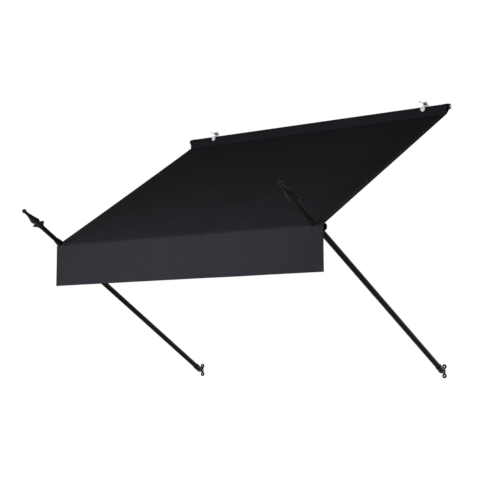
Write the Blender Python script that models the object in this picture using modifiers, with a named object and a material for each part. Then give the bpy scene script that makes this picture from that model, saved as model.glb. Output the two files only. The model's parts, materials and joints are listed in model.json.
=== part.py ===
"""A window awning on two spear-headed arms, held out from the wall by its taut cloth cover.

Metres, +Z up, +X to the right for someone who looks at the wall, +Y into the wall. The origin is
the middle of the back face of the left lower wall bracket, so the wall is the plane y = 0. The
arms, the front bar, the spears and the valance swing up together about the two lower brackets.
"""

import math

import bmesh
import bpy
from mathutils import Matrix, Vector

# Places of the main pieces
ARM_SPACING = 1.118
HEAD_HEIGHT = 0.950
BAR_OUT = 0.7925
BAR_UP = 0.449
PIVOT_OUT = 0.016
HEAD_ROD_SHIFT = -0.006
CLAMP_INSET = 0.1135
CLAMP_SHIFT = 0.006

# Stock and fits shared by many pieces
GAP = 0.0003
TUBE_RADIUS = 0.0095
TUBE_WALL = 0.0012
CLOTH = 0.0012
ROUND_STEPS = 24
SMALL_STEPS = 16
ARC_STEP_DEG = 12.0
SHARP_EDGE_DEG = 35.0
WELD = 0.000002
CUTTER_REACH = 4.0

# Head rod and its end caps
HEAD_CAP_RADIUS = 0.0105
HEAD_CAP_DEPTH = 0.005
HEAD_CAP_EDGE = 0.0012
HEAD_PLUG_LENGTH = 0.014
SCREW_HEAD_RADIUS = 0.0037
SCREW_HEAD_HEIGHT = 0.0016
SCREW_CROWN_RADIUS = 0.0022
SCREW_CROWN_RISE = 0.0003
SCREW_RIM = 0.0003
SCREW_RADIUS = 0.0015
SCREW_LENGTH = 0.010

# Head clamps
CLAMP_WIDTH = 0.0175
CLAMP_STRIP = 0.002
CLAMP_TAB_UP = 0.033
HOOK_END_DEG = -100.0
STRAP_TONGUE = 0.0076
CLAMP_STUD_UP = 0.0235
CLAMP_STUD_RADIUS = 0.0025
CLAMP_STUD_OUT = 0.0185
CLAMP_STUD_CHAMFER = 0.0006
WING_HUB_RADIUS = 0.0055
WING_HUB_TAPER = 0.0011
WING_HUB_HEIGHT = 0.007
WING_SPAN = 0.047
WING_RISE = 0.009
WING_TIP_RADIUS = 0.0036
WING_THICKNESS = 0.0022
WING_ROOT = 0.0041
WING_ROOT_INSET = 0.001
WING_TIP_LOW_DEG = -70.0
WING_TIP_HIGH_DEG = 110.0
WING_ROLLS_DEG = {"left": -19.0, "right": -27.0}

# Lower wall brackets and their pins
PLATE_THICKNESS = 0.003
PLATE_LOBE_RADIUS = 0.0085
PLATE_HOLE_SPACING = 0.0332
PLATE_HOLE_RADIUS = 0.0026
PLATE_NECK_HALF = 0.004
EAR_THICKNESS = 0.006
EAR_RADIUS = 0.0075
EAR_FOOT_HALF = 0.009
EAR_FOOT_SUNK = 0.001
PIN_RADIUS = 0.003
PIN_HEAD_RADIUS = 0.0048
PIN_HEAD_HEIGHT = 0.0017
PIN_HEAD_RIM = 0.0009
PIN_CROWN_RADIUS = 0.0031
PIN_CROWN_RISE = 0.00025

# Arm forks, which straddle the ears
FORK_RADIUS = 0.01125
FORK_TINE_OUT = 0.009
FORK_SLOT_SIDE = 0.0004
FORK_SLOT_DEPTH = 0.0125
FORK_CUP_START = 0.013
FORK_CUP_FLOOR = 0.020
FORK_CUP_END = 0.036
FORK_EDGE = 0.0011

# Arm plugs and the studs through the front bar
PLUG_HEAD = 0.002
PLUG_LENGTH = 0.020
STUD_RADIUS = 0.004
STUD_IN_PLUG = 0.016
STUD_IN_COLLAR = 0.006

# Front bar
BAR_OVERHANG = 0.0175
BAR_CAP_HEAD = 0.002
BAR_CAP_PLUG = 0.010

# Spears, counted from the front bar's axis along the arm
GROMMET_RADIUS = 0.0105
GROMMET_THICKNESS = 0.0014
NUT_FLATS = 0.013
NUT_HEIGHT = 0.006
COLLAR_RADIUS = 0.012
COLLAR_LENGTH = 0.0265
COLLAR_FLOOR = 0.0075
COLLAR_FOOT_RADIUS = 0.0112
COLLAR_TOP_RADIUS = 0.0098
COLLAR_TAPER = 0.0015
COLLAR_SHOULDER = 0.014
SPEAR_TUBE_RADIUS = 0.00825
SPEAR_TUBE_LENGTH = 0.0985
SPIGOT_LENGTH = 0.014
SPEAR_ROLL_DEG = 25.0

# Spear head: a turned blank pressed flat. Each row is the distance from its foot, the half
# width and the half thickness.
BALL_RADIUS = 0.0077
BALL_PLACE = 0.1015
HEAD_SECTIONS = (
    (0.0000, 0.0088, 0.0088),
    (0.0040, 0.0090, 0.0088),
    (0.0100, 0.0128, 0.0076),
    (0.0165, 0.0190, 0.0066),
    (0.0215, 0.0238, 0.0060),
    (0.0240, 0.0243, 0.0056),
    (0.0262, 0.0226, 0.0056),
    (0.0290, 0.0150, 0.0060),
    (0.0320, 0.0118, 0.0066),
    (0.0345, 0.0142, 0.0078),
    (0.0380, 0.0165, 0.0088),
    (0.0430, 0.0168, 0.0092),
    (0.0500, 0.0150, 0.0088),
    (0.0600, 0.0118, 0.0078),
    (0.0700, 0.0086, 0.0068),
    (0.0800, 0.0063, 0.0060),
    (0.0870, 0.0054, 0.0054),
    (0.0930, 0.0054, 0.0054),
)

# Cloth cover
SLEEVE_INSET = 0.003
HEAD_DROP = 0.028
COVER_PAST_ARM = 0.028
ROD_PAST_COVER = 0.019
SEAM_SPACE = 0.0062
CLAMP_SLOT_SIDE = 0.003
CLAMP_SLOT_FRONT = 0.005
CLAMP_SLOT_TOP = 0.007
CLAMP_SLOT_BOTTOM = 0.045
VALANCE_DROP = 0.141
FRONT_SEAM_DROP = 0.016
ARM_HOLE_SIDE = 0.0016
STUD_HOLE_SIDE = 0.0006

# Worked out from the sizes above: the space between the arms sets the cover's width, and that
# sets the head rod's length and its clamps
COVER_FRONT_WIDTH = ARM_SPACING + 2 * COVER_PAST_ARM
HEAD_ROD_LENGTH = COVER_FRONT_WIDTH + 2 * ROD_PAST_COVER
CLAMP_SPACING = HEAD_ROD_LENGTH - 2 * CLAMP_INSET
HOLE_PIN = PIN_RADIUS + GAP
HOLE_STUD = STUD_RADIUS + GAP
TUBE_BORE = TUBE_RADIUS - TUBE_WALL
SLEEVE_IN = TUBE_RADIUS + GAP
SLEEVE_OUT = SLEEVE_IN + CLOTH
SLEEVE_MID = SLEEVE_IN + CLOTH / 2
ROD_OUT = SLEEVE_IN + CLAMP_STRIP
STRAP_IN = SLEEVE_OUT + GAP
STRAP_OUT = STRAP_IN + CLAMP_STRIP
ARM_LENGTH = math.hypot(BAR_OUT - PIVOT_OUT, BAR_UP)
ARM_RISE = math.atan2(BAR_UP, BAR_OUT - PIVOT_OUT)
MIDDLE_X = ARM_SPACING / 2
GROMMET_PLACE = SLEEVE_OUT + GAP
NUT_PLACE = GROMMET_PLACE + GROMMET_THICKNESS + GAP
COLLAR_PLACE = NUT_PLACE + NUT_HEIGHT + GAP
TUBE_PLACE = COLLAR_PLACE + COLLAR_FLOOR + GAP
HEAD_PLACE = TUBE_PLACE + SPEAR_TUBE_LENGTH + GAP

SIDES = {"left": 0.0, "right": ARM_SPACING}


def clear_scene():
    """Removes what the scene holds."""
    for old in list(bpy.data.objects):
        bpy.data.objects.remove(old, do_unlink=True)


def new_collection(name):
    """A new collection in the scene."""
    collection = bpy.data.collections.new(name)
    bpy.context.scene.collection.children.link(collection)
    return collection


def new_material(name, colour, roughness, metallic):
    """A plain material of one colour."""
    material = bpy.data.materials.new(name)
    material.use_nodes = True
    shader = material.node_tree.nodes["Principled BSDF"]
    shader.inputs["Base Color"].default_value = (*colour, 1.0)
    shader.inputs["Roughness"].default_value = roughness
    shader.inputs["Metallic"].default_value = metallic
    return material


clear_scene()
PARTS = new_collection("spear_arm_awning")
CUTTERS = new_collection("cutters")
BLACK_COAT = new_material("black_powder_coat", (0.018, 0.018, 0.019), 0.42, 0.0)
BLACK_CAST = new_material("black_casting", (0.024, 0.024, 0.025), 0.5, 0.0)
BLACK_PLASTIC = new_material("black_plastic", (0.015, 0.015, 0.016), 0.45, 0.0)
ZINC = new_material("zinc_plate", (0.72, 0.73, 0.75), 0.34, 1.0)
CHARCOAL_CLOTH = new_material("charcoal_cloth", (0.022, 0.022, 0.026), 0.9, 0.0)

ARM_AXIS = bpy.data.objects.new("arm_swing_axis", None)
PARTS.objects.link(ARM_AXIS)
ARM_AXIS.location = (0.0, -PIVOT_OUT, 0.0)
ARM_AXIS.rotation_euler = (math.pi / 2 - ARM_RISE, 0.0, 0.0)


def link(name, data, material=None, parent=None):
    """A new object, among the parts where it has a material and among the cutters where not."""
    piece = bpy.data.objects.new(name, data)
    if material is None:
        CUTTERS.objects.link(piece)
        piece.hide_render = True
        piece.display_type = "WIRE"
    else:
        PARTS.objects.link(piece)
        data.materials.clear()
        data.materials.append(material)
    piece.parent = parent
    return piece


def smooth(mesh):
    """Shades round sides smooth and keeps real edges sharp."""
    mesh.shade_smooth()
    mesh.set_sharp_from_angle(angle=math.radians(SHARP_EDGE_DEG))


def arc(centre, radius, start_deg, end_deg, step_deg=ARC_STEP_DEG):
    """Points of an arc from one angle to another, both included."""
    points = []
    steps = math.ceil(abs(end_deg - start_deg) / step_deg)
    for step in range(steps + 1):
        angle = math.radians(start_deg + (end_deg - start_deg) * step / steps)
        points.append((centre[0] + radius * math.cos(angle), centre[1] + radius * math.sin(angle)))
    return points


def ring(centre, radius):
    """Points of a whole circle, for a hole in an outline."""
    return arc(centre, radius, 0.0, 360.0, 360.0 / SMALL_STEPS)[:-1]


def turned(name, profile, material=None, parent=None, closed=False, place=None, steps=SMALL_STEPS):
    """A piece turned about its local Z from a profile of (radius, height) rows.

    The profile runs down the outer side. A closed one makes a ring or a tube.
    """
    mesh = bpy.data.meshes.new(name)
    edges = [(row, row + 1) for row in range(len(profile) - 1)]
    if closed:
        edges.append((len(profile) - 1, 0))
    mesh.from_pydata([(radius, 0.0, height) for radius, height in profile], edges, [])
    blank = link(name + "_profile", mesh)
    screw = blank.modifiers.new("turn", "SCREW")
    screw.steps = steps
    screw.render_steps = steps
    screw.use_merge_vertices = True
    screw.merge_threshold = WELD
    return finished(name, blank, material, parent, place)


def extruded(name, loops, thickness, material=None, parent=None, place=None):
    """A flat outline, with holes, thickened evenly to both sides of its plane."""
    curve = bpy.data.curves.new(name, "CURVE")
    curve.dimensions = "2D"
    curve.fill_mode = "BOTH"
    curve.extrude = thickness / 2
    for points in loops:
        spline = curve.splines.new("POLY")
        spline.points.add(len(points) - 1)
        for knot, (across, up) in zip(spline.points, points):
            knot.co = (across, up, 0.0, 1.0)
        spline.use_cyclic_u = True
    return finished(name, link(name + "_outline", curve), material, parent, place)


def cylinder(name, radius, length, steps=SMALL_STEPS, place=None):
    """A solid cylinder about its local Z, centred, for a cutter."""
    mesh = bpy.data.meshes.new(name)
    cage = bmesh.new()
    bmesh.ops.create_cone(
        cage, cap_ends=True, segments=steps, radius1=radius, radius2=radius, depth=length
    )
    cage.to_mesh(mesh)
    cage.free()
    piece = link(name, mesh)
    piece.matrix_basis = place or Matrix()
    return piece


def box(name, low, high):
    """A cutter box between two corners."""
    mesh = bpy.data.meshes.new(name)
    size = Vector(high) - Vector(low)
    middle = (Vector(high) + Vector(low)) / 2
    cage = bmesh.new()
    bmesh.ops.create_cube(cage, size=1.0)
    bmesh.ops.scale(cage, vec=size, verts=cage.verts)
    bmesh.ops.translate(cage, vec=middle, verts=cage.verts)
    cage.to_mesh(mesh)
    cage.free()
    return link(name, mesh)


def finished(name, blank, material, parent, place):
    """The blank's evaluated shape as a plain welded mesh object, and the blank removed."""
    bpy.context.view_layer.update()
    graph = bpy.context.evaluated_depsgraph_get()
    mesh = bpy.data.meshes.new_from_object(blank.evaluated_get(graph))
    mesh.name = name
    bpy.data.objects.remove(blank, do_unlink=True)
    cage = bmesh.new()
    cage.from_mesh(mesh)
    bmesh.ops.remove_doubles(cage, verts=cage.verts, dist=WELD)
    bmesh.ops.recalc_face_normals(cage, faces=cage.faces)
    cage.to_mesh(mesh)
    cage.free()
    smooth(mesh)
    piece = link(name, mesh, material, parent)
    piece.matrix_basis = place or Matrix()
    return piece


def combine(piece, other, operation):
    """Adds a Boolean of the piece with a cutter."""
    cut = piece.modifiers.new(operation.lower() + "_" + other.name, "BOOLEAN")
    cut.operation = operation
    cut.solver = "EXACT"
    cut.object = other


def along_x(x, y=0.0, z=0.0, turn=1.0):
    """Places a turned piece with its local Z along X, or along -X where turn is -1."""
    return Matrix.Translation((x, y, z)) @ Matrix.Rotation(turn * math.pi / 2, 4, "Y")


def out_of_wall(x, y, z):
    """Places a turned piece with its local Z along -Y, away from the wall."""
    return Matrix.Translation((x, y, z)) @ Matrix.Rotation(math.pi / 2, 4, "X")


def side_section(x, y=0.0, z=0.0):
    """Places an outline so that its first coordinate is Y, its second Z and its thickness X."""
    turn = Matrix(((0, 0, 1, 0), (1, 0, 0, 0), (0, 1, 0, 0), (0, 0, 0, 1)))
    return Matrix.Translation((x, y, z)) @ turn


def on_arm(x, distance=0.0):
    """Places a turned piece on an arm's axis, counted from its pivot."""
    return Matrix.Translation((x, 0.0, distance))


def on_bar(x, distance=0.0):
    """Places a turned piece on an arm's axis, counted from the front bar's axis."""
    return on_arm(x, ARM_LENGTH + distance)


def tube_profile(outer, inner, bottom, top):
    """The closed profile of a plain tube."""
    return [(outer, top), (outer, bottom), (inner, bottom), (inner, top)]


def crossing(start, direction, other_start, other_direction):
    """Where two lines of the section plane cross."""
    offset = Vector(other_start) - Vector(start)
    turn = direction[0] * other_direction[1] - direction[1] * other_direction[0]
    distance = (offset[0] * other_direction[1] - offset[1] * other_direction[0]) / turn
    return (start[0] + direction[0] * distance, start[1] + direction[1] * distance)


def pocket(centre, drop):
    """The two faces of a sewn pocket about a rod, as a drop shape with its point at the front.

    The front ply hangs straight down and meets the back ply at a seam this far below the rod.
    Both faces start at the front, run over the top and end where the back ply leaves the rod.
    The last value is the back ply's direction towards the seam.
    """
    seam_angle = math.degrees(math.atan2(-drop, -SLEEVE_MID))
    leaving = 2 * seam_angle + 180.0
    outer = arc(centre, SLEEVE_OUT, 180.0, leaving)
    inner = arc(centre, SLEEVE_IN, 180.0, leaving)
    apex = (centre[0] - SLEEVE_IN, centre[1] - drop * SLEEVE_IN / SLEEVE_MID)
    back = (Vector(apex) - Vector(inner[-1])).normalized()
    return outer, inner + [apex], back


def clamp_places():
    """The name and place of each head clamp."""
    middle = MIDDLE_X + CLAMP_SHIFT
    return (("left", middle - CLAMP_SPACING / 2), ("right", middle + CLAMP_SPACING / 2))


def head_rod():
    """The tube in the cover's top sleeve, with its caps and their screws."""
    x = MIDDLE_X + HEAD_ROD_SHIFT
    half = HEAD_ROD_LENGTH / 2
    turned(
        "head_rod",
        tube_profile(TUBE_RADIUS, TUBE_BORE, -half, half),
        BLACK_COAT,
        closed=True,
        place=along_x(x, -ROD_OUT, HEAD_HEIGHT),
        steps=ROUND_STEPS,
    )
    plug = TUBE_BORE - GAP
    hole = SCREW_RADIUS + GAP
    cap = [
        (0.0, HEAD_CAP_DEPTH - SCREW_LENGTH - GAP),
        (hole, HEAD_CAP_DEPTH - SCREW_LENGTH - GAP),
        (hole, HEAD_CAP_DEPTH),
        (HEAD_CAP_RADIUS - HEAD_CAP_EDGE, HEAD_CAP_DEPTH),
        (HEAD_CAP_RADIUS, HEAD_CAP_DEPTH - HEAD_CAP_EDGE),
        (HEAD_CAP_RADIUS, GAP),
        (plug, GAP),
        (plug, -HEAD_PLUG_LENGTH),
        (0.0, -HEAD_PLUG_LENGTH),
    ]
    seat = HEAD_CAP_DEPTH + GAP
    screw = [
        (0.0, seat + SCREW_HEAD_HEIGHT),
        (SCREW_CROWN_RADIUS, seat + SCREW_HEAD_HEIGHT - SCREW_CROWN_RISE),
        (SCREW_HEAD_RADIUS, seat + SCREW_RIM),
        (SCREW_HEAD_RADIUS, seat),
        (SCREW_RADIUS, seat),
        (SCREW_RADIUS, HEAD_CAP_DEPTH - SCREW_LENGTH),
        (0.0, HEAD_CAP_DEPTH - SCREW_LENGTH),
    ]
    for side, turn in (("left", -1.0), ("right", 1.0)):
        place = along_x(x + turn * half, -ROD_OUT, HEAD_HEIGHT, turn)
        turned("head_rod_cap_" + side, cap, BLACK_PLASTIC, place=place)
        turned("head_cap_screw_" + side, screw, ZINC, place=place)


def tab_outline(low):
    """The front view of a clamp strip, with round ends, down to a height below the rod's axis."""
    half = CLAMP_WIDTH / 2
    upper = arc((0.0, CLAMP_TAB_UP - half), half, 0.0, 180.0)
    return upper + arc((0.0, low + half), half, 180.0, 360.0)


def wing_outline():
    """One wing of a wing nut, with its first coordinate away from the hub and its second up."""
    tip = (WING_SPAN / 2 - WING_TIP_RADIUS, WING_RISE)
    round_tip = arc(tip, WING_TIP_RADIUS, WING_TIP_LOW_DEG, WING_TIP_HIGH_DEG)
    foot = (WING_ROOT, WING_ROOT_INSET)
    head = (WING_ROOT, WING_HUB_HEIGHT - WING_ROOT_INSET)
    return [foot] + round_tip + [head]


def head_clamp(side, x):
    """A hooked bracket under the rod, a strap over it, and the stud and wing nut that close it."""
    centre = (-ROD_OUT, HEAD_HEIGHT)
    hook = arc(centre, SLEEVE_IN, 0.0, HOOK_END_DEG)
    hook_back = arc(centre, SLEEVE_IN + CLAMP_STRIP, HOOK_END_DEG, 0.0)
    top = HEAD_HEIGHT + CLAMP_TAB_UP
    bracket = extruded(
        "clamp_bracket_" + side,
        [[(0.0, top), (-CLAMP_STRIP, top)] + hook + hook_back],
        CLAMP_WIDTH,
        ZINC,
        place=side_section(x),
    )
    tab_back = -CLAMP_STRIP - GAP
    tab_front = tab_back - CLAMP_STRIP
    tongue = HEAD_HEIGHT - STRAP_TONGUE
    over = arc(centre, STRAP_OUT, 90.0, 180.0) + [(-ROD_OUT - STRAP_OUT, tongue)]
    under = [(-ROD_OUT - STRAP_IN, tongue)] + arc(centre, STRAP_IN, 180.0, 90.0)
    strap = extruded(
        "clamp_strap_" + side,
        [
            [(tab_back, top), (tab_front, top), (tab_front, HEAD_HEIGHT + STRAP_OUT)]
            + over
            + under
            + [(tab_back, HEAD_HEIGHT + STRAP_IN)]
        ],
        CLAMP_WIDTH,
        ZINC,
        place=side_section(x),
    )
    depth = CUTTER_REACH * ROD_OUT
    for piece, low in ((bracket, -depth), (strap, -STRAP_TONGUE)):
        trim = extruded(
            piece.name + "_trim",
            [tab_outline(low)],
            depth,
            place=out_of_wall(x, 0.0, HEAD_HEIGHT),
        )
        combine(piece, trim, "INTERSECT")
        drill = cylinder(
            piece.name + "_drill",
            CLAMP_STUD_RADIUS + GAP,
            depth,
            place=out_of_wall(x, 0.0, HEAD_HEIGHT + CLAMP_STUD_UP),
        )
        combine(piece, drill, "DIFFERENCE")
    stud = out_of_wall(x, 0.0, HEAD_HEIGHT + CLAMP_STUD_UP)
    turned(
        "clamp_stud_" + side,
        [
            (0.0, CLAMP_STUD_OUT),
            (CLAMP_STUD_RADIUS - CLAMP_STUD_CHAMFER, CLAMP_STUD_OUT),
            (CLAMP_STUD_RADIUS, CLAMP_STUD_OUT - CLAMP_STUD_CHAMFER),
            (CLAMP_STUD_RADIUS, GAP),
            (0.0, GAP),
        ],
        ZINC,
        place=stud,
    )
    seat = -tab_front + GAP
    nut = turned(
        "wing_nut_" + side,
        [
            (WING_HUB_RADIUS - WING_HUB_TAPER, seat + WING_HUB_HEIGHT),
            (WING_HUB_RADIUS, seat),
            (CLAMP_STUD_RADIUS + GAP, seat),
            (CLAMP_STUD_RADIUS + GAP, seat + WING_HUB_HEIGHT),
        ],
        ZINC,
        closed=True,
        place=stud,
    )
    for wing, turn in (("a", 0.0), ("b", math.pi)):
        roll = Matrix.Rotation(turn + math.radians(WING_ROLLS_DEG[side]), 4, "Z")
        lift = Matrix.Translation((0.0, 0.0, seat))
        stand = Matrix.Rotation(math.pi / 2, 4, "X")
        blade = extruded(
            f"wing_{side}_{wing}",
            [wing_outline()],
            WING_THICKNESS,
            place=stud @ roll @ lift @ stand,
        )
        combine(nut, blade, "UNION")


def plate_outline():
    """A wall plate of two round lobes joined by a neck, with a screw hole in each lobe."""
    reach = PLATE_HOLE_SPACING / 2
    meet = math.degrees(math.acos(PLATE_NECK_HALF / PLATE_LOBE_RADIUS))
    upper = arc((0.0, reach), PLATE_LOBE_RADIUS, -meet, 180.0 + meet)
    lower = arc((0.0, -reach), PLATE_LOBE_RADIUS, 180.0 - meet, 360.0 + meet)
    holes = [ring((0.0, up), PLATE_HOLE_RADIUS) for up in (reach, -reach)]
    return [upper + lower] + holes


def lower_bracket(side, x):
    """The wall plate with its ear, and the riveted pin that the arm's fork turns on."""
    bracket = extruded(
        "wall_bracket_" + side,
        plate_outline(),
        PLATE_THICKNESS,
        BLACK_CAST,
        place=out_of_wall(x, -PLATE_THICKNESS / 2, 0.0),
    )
    pivot = (-PIVOT_OUT, 0.0)
    foot = EAR_FOOT_SUNK - PLATE_THICKNESS
    ear = extruded(
        "ear_" + side,
        [
            [(foot, -EAR_FOOT_HALF), (foot, EAR_FOOT_HALF)] + arc(pivot, EAR_RADIUS, 90.0, 270.0),
            ring(pivot, HOLE_PIN),
        ],
        EAR_THICKNESS,
        place=side_section(x),
    )
    combine(bracket, ear, "UNION")
    seat = FORK_TINE_OUT + GAP
    head = [
        (0.0, seat + PIN_HEAD_HEIGHT),
        (PIN_CROWN_RADIUS, seat + PIN_HEAD_HEIGHT - PIN_CROWN_RISE),
        (PIN_HEAD_RADIUS, seat + PIN_HEAD_RIM),
        (PIN_HEAD_RADIUS, seat),
        (PIN_RADIUS, seat),
    ]
    mirrored = [(radius, -height) for radius, height in reversed(head)]
    turned("pivot_pin_" + side, head + mirrored, ZINC, place=along_x(x, -PIVOT_OUT, 0.0))


def arm(side, x):
    """An arm's fork, tube and top plug."""
    cup = SLEEVE_IN
    edge = FORK_RADIUS - FORK_EDGE
    fork = turned(
        "arm_fork_" + side,
        [
            (cup, FORK_CUP_END),
            (edge, FORK_CUP_END),
            (FORK_RADIUS, FORK_CUP_END - FORK_EDGE),
            (FORK_RADIUS, FORK_CUP_START + FORK_EDGE),
            (edge, FORK_CUP_START),
            (0.0, FORK_CUP_START),
            (0.0, FORK_CUP_FLOOR),
            (cup, FORK_CUP_FLOOR),
        ],
        BLACK_CAST,
        ARM_AXIS,
        closed=True,
        place=on_arm(x),
        steps=ROUND_STEPS,
    )
    reach = (FORK_CUP_START + FORK_CUP_FLOOR) / 2
    tines = extruded(
        "tines_" + side,
        [
            arc((0.0, 0.0), EAR_RADIUS, 180.0, 360.0) + [(EAR_RADIUS, reach), (-EAR_RADIUS, reach)],
            ring((0.0, 0.0), HOLE_PIN),
        ],
        2 * FORK_TINE_OUT,
        parent=ARM_AXIS,
        place=side_section(x),
    )
    slot_half = EAR_THICKNESS / 2 + FORK_SLOT_SIDE
    slot = box(
        "slot_" + side,
        (x - slot_half, -CUTTER_REACH * EAR_RADIUS, -CUTTER_REACH * EAR_RADIUS),
        (x + slot_half, CUTTER_REACH * EAR_RADIUS, FORK_SLOT_DEPTH),
    )
    slot.parent = ARM_AXIS
    combine(tines, slot, "DIFFERENCE")
    combine(fork, tines, "UNION")
    plug_top = ARM_LENGTH - SLEEVE_IN
    plug_foot = plug_top - PLUG_HEAD
    turned(
        "arm_tube_" + side,
        tube_profile(TUBE_RADIUS, TUBE_BORE, FORK_CUP_FLOOR + GAP, plug_foot - GAP),
        BLACK_COAT,
        ARM_AXIS,
        closed=True,
        place=on_arm(x),
        steps=ROUND_STEPS,
    )
    body = TUBE_BORE - GAP
    stud_floor = ARM_LENGTH - SLEEVE_IN - STUD_IN_PLUG - GAP
    turned(
        "arm_plug_" + side,
        [
            (0.0, stud_floor),
            (HOLE_STUD, stud_floor),
            (HOLE_STUD, plug_top),
            (TUBE_RADIUS, plug_top),
            (TUBE_RADIUS, plug_foot),
            (body, plug_foot),
            (body, plug_foot - PLUG_LENGTH),
            (0.0, plug_foot - PLUG_LENGTH),
        ],
        BLACK_PLASTIC,
        ARM_AXIS,
        place=on_arm(x),
    )


def front_bar():
    """The tube in the cover's front pocket, cross-drilled for the arm studs, with its end caps."""
    half = MIDDLE_X + BAR_OVERHANG
    bar = turned(
        "front_bar",
        tube_profile(TUBE_RADIUS, TUBE_BORE, -half, half),
        BLACK_COAT,
        ARM_AXIS,
        closed=True,
        place=along_x(MIDDLE_X, 0.0, ARM_LENGTH),
        steps=ROUND_STEPS,
    )
    for side, x in SIDES.items():
        drill = cylinder("bar_drill_" + side, HOLE_STUD, CUTTER_REACH * TUBE_RADIUS, place=on_bar(x))
        drill.parent = ARM_AXIS
        combine(bar, drill, "DIFFERENCE")
    plug = TUBE_BORE - GAP
    cap = [
        (0.0, BAR_CAP_HEAD),
        (TUBE_RADIUS, BAR_CAP_HEAD),
        (TUBE_RADIUS, GAP),
        (plug, GAP),
        (plug, -BAR_CAP_PLUG),
        (0.0, -BAR_CAP_PLUG),
    ]
    for side, turn in (("left", -1.0), ("right", 1.0)):
        place = along_x(MIDDLE_X + turn * half, 0.0, ARM_LENGTH, turn)
        turned("front_bar_cap_" + side, cap, BLACK_PLASTIC, ARM_AXIS, place=place)


def spear_fixing(side, x):
    """What holds a spear to its arm through the bar: stud, grommet in the cloth, and lock nut."""
    turned(
        "bar_stud_" + side,
        [
            (0.0, COLLAR_PLACE + STUD_IN_COLLAR),
            (STUD_RADIUS, COLLAR_PLACE + STUD_IN_COLLAR),
            (STUD_RADIUS, -SLEEVE_IN - STUD_IN_PLUG),
            (0.0, -SLEEVE_IN - STUD_IN_PLUG),
        ],
        ZINC,
        ARM_AXIS,
        place=on_bar(x),
    )
    low = GROMMET_PLACE
    high = GROMMET_PLACE + GROMMET_THICKNESS
    bevel = GROMMET_THICKNESS / 2
    turned(
        "grommet_" + side,
        [
            (HOLE_STUD, high),
            (GROMMET_RADIUS - bevel, high),
            (GROMMET_RADIUS, low + bevel),
            (GROMMET_RADIUS, low),
            (HOLE_STUD, low),
        ],
        ZINC,
        ARM_AXIS,
        closed=True,
        place=on_bar(x),
    )
    nut = cylinder("lock_nut_blank", NUT_FLATS / math.sqrt(3), NUT_HEIGHT, steps=6)
    nut = finished(
        "lock_nut_" + side, nut, ZINC, ARM_AXIS, on_bar(x, NUT_PLACE + NUT_HEIGHT / 2)
    )
    reach = CUTTER_REACH * NUT_HEIGHT
    bore = cylinder("nut_bore_" + side, HOLE_STUD, reach, place=on_bar(x, NUT_PLACE))
    bore.parent = ARM_AXIS
    combine(nut, bore, "DIFFERENCE")


def flatness(place):
    """How much thinner than wide the spear head is at this distance from its foot."""
    for (low, width_a, thick_a), (high, width_b, thick_b) in zip(HEAD_SECTIONS, HEAD_SECTIONS[1:]):
        if low <= place <= high:
            share = (place - low) / (high - low)
            thick = thick_a + (thick_b - thick_a) * share
            return thick / (width_a + (width_b - width_a) * share)
    return 1.0


def spear(side, x):
    """A spear beyond the bar: its collar, its tube and its head."""
    bore = SPEAR_TUBE_RADIUS + GAP
    turned(
        "spear_collar_" + side,
        [
            (bore, COLLAR_LENGTH),
            (COLLAR_TOP_RADIUS, COLLAR_LENGTH),
            (COLLAR_RADIUS, COLLAR_LENGTH - COLLAR_SHOULDER),
            (COLLAR_RADIUS, COLLAR_TAPER),
            (COLLAR_FOOT_RADIUS, 0.0),
            (HOLE_STUD, 0.0),
            (HOLE_STUD, COLLAR_FLOOR),
            (bore, COLLAR_FLOOR),
        ],
        BLACK_CAST,
        ARM_AXIS,
        closed=True,
        place=on_bar(x, COLLAR_PLACE),
        steps=ROUND_STEPS,
    )
    inner = SPEAR_TUBE_RADIUS - TUBE_WALL
    turned(
        "spear_tube_" + side,
        tube_profile(SPEAR_TUBE_RADIUS, inner, 0.0, SPEAR_TUBE_LENGTH),
        BLACK_COAT,
        ARM_AXIS,
        closed=True,
        place=on_bar(x, TUBE_PLACE),
        steps=ROUND_STEPS,
    )
    spigot = inner - GAP
    neck_place, neck_radius, _ = HEAD_SECTIONS[-1]
    ball_start = -math.degrees(math.acos(neck_radius / BALL_RADIUS))
    ball = arc((0.0, BALL_PLACE), BALL_RADIUS, 90.0, ball_start)
    rows = [(half, place) for place, half, _ in reversed(HEAD_SECTIONS)]
    blank = ball + rows + [(spigot, 0.0), (spigot, -SPIGOT_LENGTH), (0.0, -SPIGOT_LENGTH)]
    blank[0] = (0.0, BALL_PLACE + BALL_RADIUS)
    roll = Matrix.Rotation(math.radians(SPEAR_ROLL_DEG), 4, "Z")
    head = turned(
        "spear_head_" + side,
        blank,
        BLACK_CAST,
        ARM_AXIS,
        place=on_bar(x, HEAD_PLACE) @ roll,
        steps=ROUND_STEPS,
    )
    for vertex in head.data.vertices:
        if 0.0 <= vertex.co.z <= neck_place:
            vertex.co.y *= flatness(vertex.co.z)


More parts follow.
